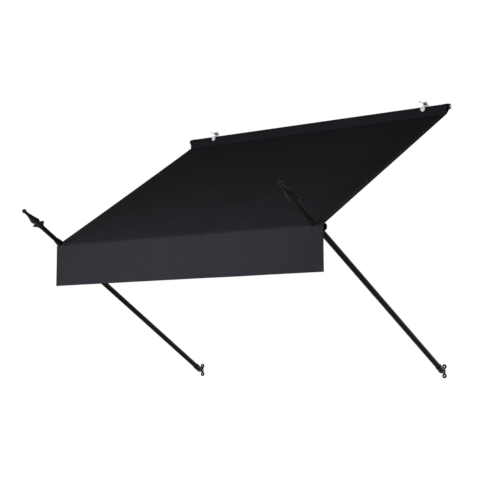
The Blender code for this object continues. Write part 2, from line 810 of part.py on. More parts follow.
def canopy():
    """The sloping cloth, with its sleeve about the head rod and its slots for the clamps."""
    rod = (-ROD_OUT, HEAD_HEIGHT)
    bar = Vector((-BAR_OUT, BAR_UP))
    outer, inner, back = pocket(rod, HEAD_DROP)
    seam = Vector((rod[0] - SLEEVE_MID, rod[1] - HEAD_DROP))
    reach = bar - seam
    heading = math.atan2(reach.y, reach.x) - math.asin(SLEEVE_MID / reach.length)
    slope = Vector((math.cos(heading), math.sin(heading)))
    normal = Vector((slope.y, -slope.x))
    end = bar + normal * SLEEVE_MID - slope * SEAM_SPACE
    above = end + normal * CLOTH / 2
    below = end - normal * CLOTH / 2
    fold = crossing(above, slope, outer[0], (0.0, 1.0))
    tuck = crossing(below, slope, outer[-1], back)
    panel = extruded(
        "canopy",
        [[tuple(above), fold] + outer + [tuck, tuple(below)], inner],
        COVER_FRONT_WIDTH,
        CHARCOAL_CLOTH,
        place=side_section(0.0),
    )
    top_half = HEAD_ROD_LENGTH / 2 - SLEEVE_INSET
    top_middle = MIDDLE_X + HEAD_ROD_SHIFT
    front_half = COVER_FRONT_WIDTH / 2
    length = (end - seam).length
    for vertex in panel.data.vertices:
        side = math.copysign(1.0, vertex.co.z)
        down = (Vector((vertex.co.x, vertex.co.y)) - seam).dot(slope) / length
        down = min(max(down, 0.0), 1.0)
        top_edge = top_middle + side * top_half
        front_edge = MIDDLE_X + side * front_half
        vertex.co.z = top_edge + (front_edge - top_edge) * down
    for side, x in clamp_places():
        half = CLAMP_WIDTH / 2 + CLAMP_SLOT_SIDE
        slot = box(
            "clamp_slot_" + side,
            (x - half, -ROD_OUT - CLAMP_SLOT_FRONT, HEAD_HEIGHT - CLAMP_SLOT_BOTTOM),
            (x + half, ROD_OUT, HEAD_HEIGHT + CLAMP_SLOT_TOP),
        )
        combine(panel, slot, "DIFFERENCE")


def valance():
    """The front pocket about the bar with the flap that hangs from it, open where the arms pass."""
    bar = (-BAR_OUT, BAR_UP)
    outer, inner, back = pocket(bar, FRONT_SEAM_DROP)
    hem = BAR_UP - VALANCE_DROP
    front = bar[0] - SLEEVE_OUT
    rear = bar[0] - SLEEVE_IN
    tuck = crossing((rear, hem), (0.0, 1.0), outer[-1], back)
    flap = extruded(
        "valance",
        [[(front, hem)] + outer + [tuck, (rear, hem)], inner],
        COVER_FRONT_WIDTH,
        CHARCOAL_CLOTH,
        place=side_section(MIDDLE_X),
    )
    bpy.context.view_layer.update()
    flap.parent = ARM_AXIS
    flap.matrix_basis = ARM_AXIS.matrix_world.inverted() @ side_section(MIDDLE_X)
    for side, x in SIDES.items():
        arm_hole = TUBE_RADIUS + ARM_HOLE_SIDE
        stud_hole = HOLE_STUD + STUD_HOLE_SIDE
        reach = CUTTER_REACH * TUBE_RADIUS
        punch = turned(
            "arm_hole_" + side,
            [
                (0.0, reach),
                (stud_hole, reach),
                (stud_hole, -GAP),
                (arm_hole, -GAP),
                (arm_hole, -reach),
                (0.0, -reach),
            ],
            parent=ARM_AXIS,
            place=on_bar(x),
        )
        combine(flap, punch, "DIFFERENCE")


def awning():
    """Builds every piece."""
    head_rod()
    for side, x in clamp_places():
        head_clamp(side, x)
    front_bar()
    for side, x in SIDES.items():
        lower_bracket(side, x)
        arm(side, x)
        spear_fixing(side, x)
        spear(side, x)
    canopy()
    valance()


awning()
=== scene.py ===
"""Looks of a window awning: sewn cover, coated tubes, cast spears and plated clamps.

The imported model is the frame. Each class below dresses one sub-assembly of it: it builds the finer
surface of its pieces, gives them their finish and says which body they move with. All sizes are in
metres, with +X to the right along the wall, +Y into the wall and +Z up.
"""

from __future__ import annotations

import json
import logging
import math
from collections.abc import Callable, Sequence
from dataclasses import dataclass
from enum import Enum
from typing import ClassVar

import bmesh
import bpy
import numpy as np
from mathutils import Matrix, Vector

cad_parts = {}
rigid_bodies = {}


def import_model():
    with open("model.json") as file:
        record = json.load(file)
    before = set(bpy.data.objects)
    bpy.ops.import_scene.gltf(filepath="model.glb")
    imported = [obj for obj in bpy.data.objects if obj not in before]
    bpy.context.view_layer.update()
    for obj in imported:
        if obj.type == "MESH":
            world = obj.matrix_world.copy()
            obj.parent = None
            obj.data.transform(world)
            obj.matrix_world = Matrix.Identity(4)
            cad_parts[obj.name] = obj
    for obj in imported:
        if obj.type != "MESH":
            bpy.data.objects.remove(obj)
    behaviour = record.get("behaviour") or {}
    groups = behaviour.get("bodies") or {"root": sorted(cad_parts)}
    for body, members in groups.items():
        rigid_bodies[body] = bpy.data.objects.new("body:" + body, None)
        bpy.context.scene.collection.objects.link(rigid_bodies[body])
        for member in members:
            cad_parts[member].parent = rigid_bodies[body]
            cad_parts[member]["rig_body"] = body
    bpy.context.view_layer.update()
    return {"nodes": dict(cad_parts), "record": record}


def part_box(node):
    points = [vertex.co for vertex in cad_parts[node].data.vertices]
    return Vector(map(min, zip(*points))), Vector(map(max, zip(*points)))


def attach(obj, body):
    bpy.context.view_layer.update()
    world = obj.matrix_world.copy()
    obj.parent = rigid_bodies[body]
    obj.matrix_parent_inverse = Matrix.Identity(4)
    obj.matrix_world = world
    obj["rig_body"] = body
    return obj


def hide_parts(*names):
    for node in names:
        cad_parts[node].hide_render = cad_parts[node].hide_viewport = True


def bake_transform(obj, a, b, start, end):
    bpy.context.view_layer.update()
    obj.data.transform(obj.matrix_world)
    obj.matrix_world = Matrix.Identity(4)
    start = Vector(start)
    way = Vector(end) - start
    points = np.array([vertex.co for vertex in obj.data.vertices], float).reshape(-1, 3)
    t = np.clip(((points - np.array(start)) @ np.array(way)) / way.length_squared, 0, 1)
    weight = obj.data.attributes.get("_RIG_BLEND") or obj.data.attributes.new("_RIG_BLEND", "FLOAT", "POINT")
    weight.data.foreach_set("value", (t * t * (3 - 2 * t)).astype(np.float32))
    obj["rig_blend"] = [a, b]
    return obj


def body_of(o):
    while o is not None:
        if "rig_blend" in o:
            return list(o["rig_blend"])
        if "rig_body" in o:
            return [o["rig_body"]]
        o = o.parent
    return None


for left_over in list(bpy.data.objects):
    bpy.data.objects.remove(left_over, do_unlink=True)
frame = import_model()

LOG = logging.getLogger("awning")
SIDES = ("left", "right")
WALL_BODY = "root"
ARM_BODY = "arm_frame"
ALONG_X = (1.0, 0.0, 0.0)
OUT_OF_WALL = (0.0, -1.0, 0.0)
WHITE = (1.0, 1.0, 1.0, 1.0)
BLACK = (0.0, 0.0, 0.0, 1.0)


class Slot(Enum):
    """The record's material slots."""

    TUBE = "black_powder_coat"
    CASTING = "black_casting"
    PLASTIC = "black_plastic"
    ZINC = "zinc_plate"
    CLOTH = "charcoal_cloth"


class NodeMaker:
    """Adds and joins nodes of one node tree, with short calls."""

    def __init__(self, tree: bpy.types.NodeTree) -> None:
        """Starts on a tree."""
        self.tree = tree

    def add(
        self, kind: str, values: dict[str | int, object] | None = None, **settings: object
    ) -> bpy.types.Node:
        """Adds one node.

        Args:
            kind: The node's type name.
            values: Input sockets to set, by name or number: a value, or a socket to link from.
            **settings: Properties of the node itself.

        Returns:
            The new node.
        """
        node = self.tree.nodes.new(kind)
        for name, value in settings.items():
            setattr(node, name, value)
        self.fill(node, values or {})
        return node

    def fill(self, node: bpy.types.Node, values: dict[str | int, object]) -> None:
        """Sets a node's inputs, and links those whose value is another node's socket."""
        for name, value in values.items():
            if isinstance(value, bpy.types.NodeSocket):
                self.tree.links.new(value, node.inputs[name])
            else:
                node.inputs[name].default_value = value

    def maths(self, operation: str, first: object, second: object = 0.0) -> bpy.types.NodeSocket:
        """Adds a Math node of two inputs and returns its output."""
        return self.add("ShaderNodeMath", {0: first, 1: second}, operation=operation).outputs[0]

    def noise(self, place: bpy.types.NodeSocket, scale: float, detail: float) -> bpy.types.NodeSocket:
        """Adds a Noise Texture and returns its pattern."""
        values = {"Vector": place, "Scale": scale, "Detail": detail}
        return self.add("ShaderNodeTexNoise", values).outputs["Fac"]

    def stretched(self, place: bpy.types.NodeSocket, scale: Sequence[float]) -> bpy.types.NodeSocket:
        """Adds a Mapping that scales each axis by itself and returns the new place."""
        return self.add("ShaderNodeMapping", {"Vector": place, "Scale": scale}).outputs["Vector"]

    def bump(self, height: bpy.types.NodeSocket, depth: float, **more: object) -> bpy.types.NodeSocket:
        """Adds a Bump and returns its normal. The other inputs are given by their own names."""
        values = {"Height": height, "Distance": depth, **more}
        return self.add("ShaderNodeBump", values).outputs["Normal"]

    def mixed(self, share: object, first: bpy.types.Node, second: bpy.types.Node) -> bpy.types.Node:
        """Adds a Mix Shader of two shaders."""
        return self.add("ShaderNodeMixShader", {0: share, 1: first.outputs[0], 2: second.outputs[0]})


def new_material(name: str) -> tuple[bpy.types.Material, NodeMaker, bpy.types.Node]:
    """Makes an empty material around one Principled shader.

    Args:
        name: The material's name.

    Returns:
        The material, the maker for its tree, and its Principled node.
    """
    material = bpy.data.materials.new(name)
    material.use_nodes = True
    shader = material.node_tree.nodes["Principled BSDF"]
    return material, NodeMaker(material.node_tree), shader


@dataclass(frozen=True)
class Finish:
    """A finish of one colour. Its kinds fill their node tree each in their own way."""

    name: str
    colour: tuple[float, float, float]

    def material(self) -> bpy.types.Material:
        """Builds the finish.

        Returns:
            The finished material.
        """
        material, nodes, shader = new_material(self.name)
        self.fill(nodes, shader)
        return material

    def fill(self, nodes: NodeMaker, shader: bpy.types.Node) -> None:
        """Fills the tree, which each kind of finish does by itself."""
        raise NotImplementedError

    def tone(
        self,
        nodes: NodeMaker,
        pattern: bpy.types.NodeSocket,
        strengths: tuple[float, float],
        stops: tuple[float, float] = (0.0, 1.0),
    ) -> bpy.types.NodeSocket:
        """Varies the finish's colour by a pattern.

        Args:
            nodes: The tree's maker.
            pattern: The pattern.
            strengths: The colour's strength at the pattern's low and high stop.
            stops: Where those stops are.

        Returns:
            The colour.
        """
        ramp = nodes.add("ShaderNodeValToRGB", {"Fac": pattern})
        for element, place, strength in zip(ramp.color_ramp.elements, stops, strengths):
            element.position = place
            element.color = (*(part * strength for part in self.colour), 1.0)
        return ramp.outputs["Color"]


@dataclass(frozen=True)
class Metal(Finish):
    """A metal finish, whose roughness goes with the clouds in its colour."""

    roughness: float

    def uneven(
        self, nodes: NodeMaker, pattern: bpy.types.NodeSocket, less: float, more: float
    ) -> bpy.types.NodeSocket:
        """The roughness, from so much less to so much more than its own."""
        values = {"Value": pattern, "To Min": self.roughness - less, "To Max": self.roughness + more}
        return nodes.add("ShaderNodeMapRange", values).outputs["Result"]


@dataclass(frozen=True)
class Grain:
    """One grain of a coat: how far apart its bumps lie, and how high they are."""

    size: float
    depth: float


@dataclass(frozen=True)
class CoatedMetal(Metal):
    """Satin black powder coat or a coated casting, with its fine orange peel."""

    gloss: float
    peel: Grain
    grit: Grain
    patches_per_metre: float = 14.0

    def fill(self, nodes: NodeMaker, shader: bpy.types.Node) -> None:
        """Clouds the coat and its gloss, and roughens it with peel and grit."""
        place = nodes.add("ShaderNodeTexCoord").outputs["Object"]
        peel = nodes.noise(place, 1 / self.peel.size, 2.0)
        grit = nodes.noise(place, 1 / self.grit.size, 4.0)
        patches = nodes.noise(place, self.patches_per_metre, 3.0)
        coarse = nodes.bump(peel, self.peel.depth, Strength=0.6)
        values = {
            "Base Color": self.tone(nodes, patches, (0.8, 1.2), (0.3, 0.7)),
            "Roughness": self.uneven(nodes, patches, 0.06, 0.08),
            "Specular IOR Level": self.gloss,
            "Normal": nodes.bump(grit, self.grit.depth, Strength=0.5, Normal=coarse),
        }
        nodes.fill(shader, values)


@dataclass(frozen=True)
class ZincPlate(Metal):
    """Zinc plating over pressed steel, slightly brushed and clouded."""

    clouds_per_metre: float = 160.0
    brush_per_metre: tuple[float, float, float] = (900.0, 900.0, 90.0)
    brush_depth: float = 0.00004

    def fill(self, nodes: NodeMaker, shader: bpy.types.Node) -> None:
        """Clouds the plating and its gloss, and brushes it along Z."""
        place = nodes.add("ShaderNodeTexCoord").outputs["Object"]
        cloud = nodes.noise(place, self.clouds_per_metre, 4.0)
        brush = nodes.noise(nodes.stretched(place, self.brush_per_metre), 1.0, 2.0)
        values = {
            "Base Color": self.tone(nodes, cloud, (0.86, 1.0), (0.25, 0.75)),
            "Metallic": 1.0,
            "Roughness": self.uneven(nodes, cloud, 0.08, 0.12),
            "Normal": nodes.bump(brush, self.brush_depth, Strength=0.4),
        }
        nodes.fill(shader, values)


@dataclass(frozen=True)
class WovenCloth(Finish):
    """Matt solution-dyed awning cloth in a plain weave, read from the sheet's own UV map in metres."""

    thread_pitch: float
    weave_depth: float
    slubs_per_metre: tuple[float, float, float] = (900.0, 60.0, 1.0)
    clouds_per_metre: float = 7.0
    flecks_per_metre: float = 2600.0
    cloud_share: float = 0.35
    slub_share: float = 0.25
    fleck_share: float = 0.4

    def fill(self, nodes: NodeMaker, shader: bpy.types.Node) -> None:
        """Weaves the cloth, with slubs in its threads and clouds and flecks in its dye."""
        cut = nodes.add("ShaderNodeUVMap", uv_map="cut").outputs["UV"]
        apart = nodes.add("ShaderNodeSeparateXYZ", {0: cut})
        turn = math.pi / self.thread_pitch
        across = nodes.maths("SINE", nodes.maths("MULTIPLY", apart.outputs["X"], turn))
        along = nodes.maths("SINE", nodes.maths("MULTIPLY", apart.outputs["Y"], turn))
        weave = nodes.maths("MULTIPLY", across, along)
        slubs = nodes.noise(nodes.stretched(cut, self.slubs_per_metre), 1.0, 2.0)
        clouds = nodes.noise(cut, self.clouds_per_metre, 5.0)
        flecks = nodes.noise(cut, self.flecks_per_metre, 1.0)
        pattern = nodes.maths("MULTIPLY", clouds, self.cloud_share)
        for part, share in ((slubs, self.slub_share), (flecks, self.fleck_share)):
            pattern = nodes.maths("ADD", pattern, nodes.maths("MULTIPLY", part, share))
        threads = nodes.bump(weave, self.weave_depth, Strength=0.45)
        values = {
            "Base Color": self.tone(nodes, pattern, (0.82, 1.2), (0.3, 0.7)),
            "Roughness": 0.92,
            "Specular IOR Level": 0.01,
            "Sheen Weight": 0.015,
            "Sheen Roughness": 0.45,
            "Normal": nodes.bump(slubs, self.weave_depth, Strength=0.35, Normal=threads),
        }
        nodes.fill(shader, values)


@dataclass(frozen=True)
class Thread(Finish):
    """Bonded sewing thread, a shade glossier than the cloth."""

    plies_per_metre: float = 3000.0

    def fill(self, nodes: NodeMaker, shader: bpy.types.Node) -> None:
        """Darkens the thread in small patches with painted shade, which stands in for the shade in the
        grooves between its plies.
        """
        place = nodes.add("ShaderNodeTexCoord").outputs["Object"]
        # painted shade: the darker patches stand in for the shade between the thread's plies
        ply = nodes.noise(place, self.plies_per_metre, 1.0)
        nodes.fill(shader, {"Base Color": self.tone(nodes, ply, (0.7, 1.0)), "Roughness": 0.6})


@dataclass(frozen=True)
class Finishes:
    """Every finish of the awning, built once."""

    tube: bpy.types.Material
    casting: bpy.types.Material
    plastic: bpy.types.Material
    zinc: bpy.types.Material
    cloth: bpy.types.Material
    thread: bpy.types.Material
    dull_zinc: bpy.types.Material
    black_zinc: bpy.types.Material

    @classmethod
    def mixed(cls) -> Finishes:
        """Builds the finishes.

        Returns:
            The set of materials.
        """
        powder_coat = CoatedMetal(
            "powder coat",
            (0.0045, 0.0045, 0.0048),
            roughness=0.45,
            gloss=0.05,
            peel=Grain(0.0022, 0.00006),
            grit=Grain(0.0005, 0.00002),
        )
        casting = CoatedMetal(
            "coated casting",
            (0.0032, 0.0032, 0.0034),
            roughness=0.32,
            gloss=0.08,
            peel=Grain(0.0035, 0.00014),
            grit=Grain(0.0008, 0.00006),
        )
        plastic = CoatedMetal(
            "moulded plastic",
            (0.005, 0.005, 0.0053),
            roughness=0.45,
            gloss=0.06,
            peel=Grain(0.0015, 0.00002),
            grit=Grain(0.0004, 0.00003),
        )
        cloth = WovenCloth(
            "charcoal cloth", (0.0355, 0.0355, 0.0435), thread_pitch=0.00055, weave_depth=0.00012
        )
        return cls(
            tube=powder_coat.material(),
            casting=casting.material(),
            plastic=plastic.material(),
            zinc=ZincPlate("zinc plate", (0.62, 0.62, 0.635), 0.3).material(),
            cloth=cloth.material(),
            thread=Thread("charcoal thread", (0.030, 0.030, 0.034)).material(),
            dull_zinc=ZincPlate("dull zinc plate", (0.22, 0.22, 0.23), 0.42).material(),
            black_zinc=ZincPlate("blackened zinc plate", (0.035, 0.035, 0.038), 0.4).material(),
        )

    def of(self, slot: Slot) -> bpy.types.Material:
        """The finish of a material slot, whose field has the slot's name."""
        return getattr(self, slot.name.lower())


def new_piece(name: str, mesh: bpy.types.Mesh, material: bpy.types.Material) -> bpy.types.Object:
    """Puts a finished mesh in the scene as one piece at the origin.

    Args:
        name: The piece's name.
        mesh: Its mesh, in the row frame.
        material: Its finish.

    Returns:
        The new object.
    """
    mesh.materials.clear()
    mesh.materials.append(material)
    piece = bpy.data.objects.new(name, mesh)
    bpy.context.scene.collection.objects.link(piece)
    return piece


def applied(piece: bpy.types.Object) -> bpy.types.Object:
    """Turns a piece's modifiers into plain mesh and returns the piece."""
    graph = bpy.context.evaluated_depsgraph_get()
    made = bpy.data.meshes.new_from_object(
        piece.evaluated_get(graph), preserve_all_data_layers=True, depsgraph=graph
    )
    piece.modifiers.clear()
    before = piece.data
    piece.data = made
    bpy.data.meshes.remove(before)
    made.name = piece.name
    return piece


def shade(mesh: bpy.types.Mesh, crease_deg: float) -> None:
    """Shades a mesh smooth, with sharp edges kept where it is creased by more than an angle."""
    mesh.shade_smooth()
    mesh.set_sharp_from_angle(angle=math.radians(crease_deg))


def report(piece: bpy.types.Object, body: str) -> None:
    """Logs one piece and what it moves with."""
    LOG.info("%s: %d faces, moves with %s", piece.name, len(piece.data.polygons), body)


def slot_of(node: str) -> Slot:
    """The material slot that the record gives a CAD node."""
    for part in frame["record"]["subparts"]:
        if part["node"] == node:
            return Slot(part["material_slot"])
    raise ValueError(f"the record has no subpart for {node}")


def span(node: str) -> tuple[float, float]:
    """The left and right ends of a CAD node's box."""
    low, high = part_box(node)
    return low.x, high.x


def middle_of(node: str) -> Vector:
    """The middle of a CAD node's box."""
    low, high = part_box(node)
    return (low + high) / 2


def held(share: float) -> float:
    """A share kept between 0 and 1."""
    return min(max(share, 0.0), 1.0)


def eased(share: float) -> float:
    """A share kept between 0 and 1, which leaves and reaches them softly."""
    kept = held(share)
    return kept * kept * (3.0 - 2.0 * kept)


@dataclass(frozen=True)
class Wave:
    """One sine of a wavy line: its radians per metre, its radians at zero and its height."""

    turns: float
    start: float
    height: float

    def at(self, x: float) -> float:
        """How high the wave is at a place."""
        return math.sin(self.turns * x + self.start) * self.height


@dataclass(frozen=True)
class CoverSection:
    """The side section that the cover's two sheets share, read from the frame.

    Points are (y, z). Angles are in degrees from +Y, turning up over +Z.
    """

    rod: Vector
    bar: Vector
    tube_radius: float
    hem_height: float
    ply: float = 0.0005
    air: float = 0.0001
    gap: float = 0.0003
    head_drop: float = 0.028
    pocket_drop: float = 0.016

    @classmethod
    def from_frame(cls) -> CoverSection:
        """Reads the rod, the bar and the hem from the CAD nodes.

        Returns:
            The section.
        """
        rod_low, rod_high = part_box("head_rod")
        return cls(
            rod=middle_of("head_rod").yz,
            bar=middle_of("front_bar").yz,
            tube_radius=(rod_high.z - rod_low.z) / 2,
            hem_height=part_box("valance")[0].z,
        )

    @property
    def inner(self) -> float:
        """The radius of the middle of the ply that lies against a tube."""
        return self.tube_radius + self.gap + self.ply / 2

    @property
    def under(self) -> float:
        """How far the middle of a turned-under ply lies below its sheet's."""
        return self.ply + self.air

    @property
    def outer(self) -> float:
        """The radius of the middle of the ply that lies over the inner one."""
        return self.inner + self.ply + self.air

    @property
    def head_fold(self) -> Vector:
        """Where the front ply below the head rod turns into the slope."""
        return self.rod + Vector((-self.outer, -self.head_drop))

    @property
    def slope(self) -> Vector:
        """The direction down the slope, which leaves the bar as a tangent."""
        reach = self.bar - self.head_fold
        turn = math.asin(self.outer / reach.length)
        heading = math.atan2(reach.y, reach.x) - turn
        return Vector((math.cos(heading), math.sin(heading)))

    @property
    def normal(self) -> Vector:
        """The upward normal of the slope."""
        return Vector((self.slope.y, -self.slope.x))

    @property
    def touch(self) -> Vector:
        """Where the slope meets the cloth over the bar."""
        return self.bar + self.normal * self.outer

    def loop(self, centre: Vector, radius: float, drop: float, steps: int) -> list[Vector]:
        """The cloth's way round the back and the top of a tube, down to its level in front.

        Args:
            centre: The tube's middle.
            radius: The radius of the cloth's middle.
            drop: How far below the tube the two plies meet again.
            steps: How many stretches the way has.

        Returns:
            Its points, from where the back ply touches the tube.
        """
        foot = math.degrees(math.atan2(-drop, -radius))
        return arc(centre, radius, 2 * foot + 180.0, 180.0, steps)


def arc(centre: Vector, radius: float, start: float, end: float, steps: int) -> list[Vector]:
    """Points of an arc in the section plane, both ends included.

    Args:
        centre: The arc's centre.
        radius: Its radius.
        start: Its first angle, in degrees.
        end: Its last angle, in degrees.
        steps: How many stretches it has.

    Returns:
        The points.
    """
    angles = [math.radians(start + (end - start) * step / steps) for step in range(steps + 1)]
    return [centre + Vector((math.cos(a), math.sin(a))) * radius for a in angles]


def line(start: Vector, end: Vector, steps: int) -> list[Vector]:
    """Evenly spaced points between two points, both included."""
    return [start.lerp(end, step / steps) for step in range(steps + 1)]


def arc_lengths(points: Sequence[Vector]) -> list[float]:
    """The distance of each point along the line through them all."""
    lengths = [0.0]
    for before, after in zip(points, points[1:]):
        lengths.append(lengths[-1] + (after - before).length)
    return lengths


def section_normals(points: Sequence[Vector]) -> list[Vector]:
    """The left-hand normal of a section line at each of its points."""
    normals = []
    for before, after in zip([points[0], *points[:-1]], [*points[1:], points[-1]]):
        along = (after - before).normalized()
        normals.append(Vector((along.y, -along.x)))
    return normals


@dataclass(frozen=True)
class Axis:
    """A line that round faces turn about."""

    point: Vector
    along: Vector

    @classmethod
    def through(cls, node: str, along: Sequence[float]) -> Axis:
        """The line through the middle of a CAD node's box, in a given direction."""
        return cls(middle_of(node), Vector(along).normalized())

    @classmethod
    def of_arm(cls, side: str) -> Axis:
        """The middle line of an arm and its spear, from the pivot pin to the front bar."""
        pivot = middle_of("pivot_pin_" + side)
        reach = middle_of("front_bar") - pivot
        return cls(pivot, Vector((0.0, reach.y, reach.z)).normalized())

    def split(self, spot: Vector) -> tuple[float, Vector]:
        """A point's distance along the line, and its offset from the line."""
        reach = (spot - self.point).dot(self.along)
        return reach, spot - self.point - self.along * reach

    def at(self, reach: float) -> Vector:
        """The point at a distance along the line."""
        return self.point + self.along * reach


@dataclass(frozen=True)
class Bore:
    """A round hole through a sheet, about an axis, on one side of a place along it."""

    axis: Axis
    place: float
    radius: float
    beyond: bool

    def depth(self, spot: Vector) -> float:
        """How far inside the hole's rim a point lies, or below zero outside it."""
        reach, out = self.axis.split(spot)
        if (reach > self.place) is not self.beyond:
            return -self.radius
        return self.radius - out.length


def bar_bores(radius: float, beyond: bool) -> list[Bore]:
    """The cloth's holes at the front bar, one for each arm.

    Args:
        radius: The holes' radius.
        beyond: Whether they lie on the spears' side of the bar, and not on the arms' side.

    Returns:
        The holes.
    """
    bores = []
    for side in SIDES:
        axis = Axis.of_arm(side)
        bar = Vector((axis.point.x, *middle_of("front_bar").yz))
        bores.append(Bore(axis, axis.split(bar)[0], radius, beyond))
    return bores


@dataclass
class Sheet:
    """A cut of cloth on a grid of rows across and columns along, with turned side hems.

    Each grid point has a distance from the left edge and a ply, which is 0 on the sheet itself and
    1 on the hem's turned-under layer. Stops are places across that a column of points has to
    follow, such as the sides of a slot.
    """

    EDGE_COLUMNS: ClassVar[tuple[float, ...]] = (0.0008, 0.004, 0.009, 0.014, 0.0165, 0.0175, 0.0185)
    HEM_SHARES: ClassVar[tuple[float, ...]] = (1.0, 0.66, 0.33)
    FOLD_ANGLES: ClassVar[tuple[float, ...]] = (0.4, 1.18, 1.96, 2.74)
    RIM_SHARES: ClassVar[tuple[float, float]] = (0.3, 2.0)
    RIM_TRIES: ClassVar[int] = 24

    name: str
    section: list[Vector]
    left: Callable[[float], float]
    right: Callable[[float], float]
    ply: float
    under: float
    lift: Callable[[float, float], float]
    holes: Callable[[float, float], bool] | None = None
    stops: Sequence[float] = ()
    bores: Sequence[Bore] = ()
    hem: float = 0.020
    relief: float = 0.0005
    relief_blur: float = 0.003
    columns: int = 104
    fine_from: float = 0.0197
    fine_to: float = 0.0405
    fine: float = 0.0012
    row_step: float = 0.008
    crossing_step: float = 0.010
    crease_deg: float = 50.0

    def __post_init__(self) -> None:
        """Measures the section and places the columns once."""
        self.lengths = arc_lengths(self.section)
        self.normals = section_normals(self.section)
        fine = np.arange(self.fine_from, self.fine_to, self.fine)
        self.margin = [*self.EDGE_COLUMNS, *(float(place) for place in fine)]
        left, width = self.left(0.0), self.right(0.0) - self.left(0.0)
        edge = self.margin[-1]
        self.shares = [step / self.columns for step in range(1, self.columns)]
        for stop in self.stops:
            share = (stop - left - edge) / (width - 2 * edge)
            nearest = min(range(len(self.shares)), key=lambda i: abs(self.shares[i] - share))
            self.shares[nearest] = share

    def across(self, width: float) -> list[tuple[float, float]]:
        """Distances from the left edge over the sheet, with the hems' layers.

        Args:
            width: The finished width here.

        Returns:
            Pairs of distance from the left edge and ply, from hem to hem.
        """
        turn = self.under / 2
        start = [(self.hem * share, 1.0) for share in self.HEM_SHARES] + [(turn, 1.0)]
        start += [(turn - turn * math.sin(a), 0.5 + 0.5 * math.cos(a)) for a in self.FOLD_ANGLES]
        start += [(place, 0.0) for place in self.margin]
        edge = self.margin[-1]
        middle = [(edge + (width - 2 * edge) * share, 0.0) for share in self.shares]
        return start + middle + [(width - place, ply) for place, ply in reversed(start)]

    def height(self, x: float, along: float) -> float:
        """How far the cloth stands off its section: its own lift, and the side hem's doubled cloth."""
        inside = min(x - self.left(along), self.right(along) - x)
        doubled = eased((self.hem + self.relief_blur - inside) / (2 * self.relief_blur))
        return self.relief * doubled + self.lift(x, along)

    def spot(self, x: float, along: float, out: float = 0.0) -> Vector:
        """A point on the sheet.

        Args:
            x: Its place across.
            along: Its distance along the section, from the sheet's first edge.
            out: How far it stands off the sheet's middle, on its outer side.

        Returns:
            The point.
        """
        lengths, normals = self.lengths, self.normals
        after = min(max(int(np.searchsorted(lengths, along)), 1), len(lengths) - 1)
        share = (along - lengths[after - 1]) / (lengths[after] - lengths[after - 1])
        place = self.section[after - 1].lerp(self.section[after], share)
        normal = normals[after - 1].lerp(normals[after], share).normalized()
        flat = place + normal * (self.height(x, along) + out)
        return Vector((x, flat.x, flat.y))

    def row(self, side: float, start: float, end: float, inset: float, out: float) -> list[Vector]:
        """A line for stitches along a side edge.

        Args:
            side: -1 for the left edge and 1 for the right one.
            start: Where it starts along the section.
            end: Where it ends.
            inset: How far it lies inside the edge.
            out: How far it stands off the sheet's middle.

        Returns:
            The line's points.
        """
        edge = self.left if side < 0 else self.right
        steps = max(2, round(abs(end - start) / self.row_step))
        places = (start + (end - start) * step / steps for step in range(steps + 1))
        return [self.spot(edge(along) - side * inset, along, out) for along in places]

    def crossing(self, along: float, inset: float, out: float) -> list[Vector]:
        """A line for stitches across the sheet, at a distance along its section."""
        left, right = self.left(along) + inset, self.right(along) - inset
        steps = max(2, round((right - left) / self.crossing_step))
        places = (left + (right - left) * step / steps for step in range(steps + 1))
        return [self.spot(x, along, out) for x in places]

    def build(self, material: bpy.types.Material) -> bpy.types.Object:
        """Builds the sheet with its thickness.

        Args:
            material: The cloth.

        Returns:
            The finished sheet, with its cut's UV map in metres.
        """
        points, cuts, wide = [], [], 0
        for along, place, normal in zip(self.lengths, self.section, self.normals):
            left, right = self.left(along), self.right(along)
            row = self.across(right - left)
            wide = len(row)
            for distance, layer in row:
                x = left + distance
                spot = place + normal * (self.height(x, along) - self.under * layer)
                points.append(Vector((x, spot.x, spot.y)))
                cuts.append((x, along) if layer < 0.5 else (2 * left - x, along))
        faces = []
        for row_start in range(0, (len(self.lengths) - 1) * wide, wide):
            for corner in range(row_start, row_start + wide - 1):
                face = (corner, corner + 1, corner + wide + 1, corner + wide)
                middle = (points[face[0]].x + points[face[2]].x) / 2
                upper = (cuts[face[0]][1] + cuts[face[3]][1]) / 2
                if not (self.holes and self.holes(middle, upper)):
                    faces.append(face)
        for bore in self.bores:
            faces = self.punch(bore, points, cuts, faces)
        mesh = bpy.data.meshes.new(self.name)
        mesh.from_pydata(points, [], faces)
        maps = [cuts[index] for face in faces for index in face]
        mesh.uv_layers.new(name="cut").data.foreach_set("uv", np.array(maps, np.float32).ravel())
        return self.thickened(mesh, material)

    def punch(
        self,
        bore: Bore,
        points: list[Vector],
        cuts: list[tuple[float, float]],
        faces: list[tuple[int, ...]],
    ) -> list[tuple[int, ...]]:
        """Cuts one round hole and moves the points about it onto its rim.

        Args:
            bore: The hole.
            points: The grid's points, moved where they lie on the rim.
            cuts: Their places on the flat cut, moved with them.
            faces: The grid's faces.

        Returns:
            The faces that are left.
        """
        kept, gone = [], []
        for face in faces:
            middle = sum((points[index] for index in face), Vector()) / len(face)
            (gone if bore.depth(middle) > 0.0 else kept).append(face)
        rim = {index for face in gone for index in face} & {index for face in kept for index in face}
        middle = sum((Vector(cuts[index]) for index in rim), Vector((0.0, 0.0))) / len(rim)
        for index in rim:
            way = Vector(cuts[index]) - middle
            inside, outside = self.RIM_SHARES
            for _ in range(self.RIM_TRIES):
                share = (inside + outside) / 2
                place = middle + way * share
                spot = self.spot(*place)
                if bore.depth(spot) > 0.0:
                    inside = share
                else:
                    outside = share
            points[index] = spot
            cuts[index] = tuple(place)
        return kept

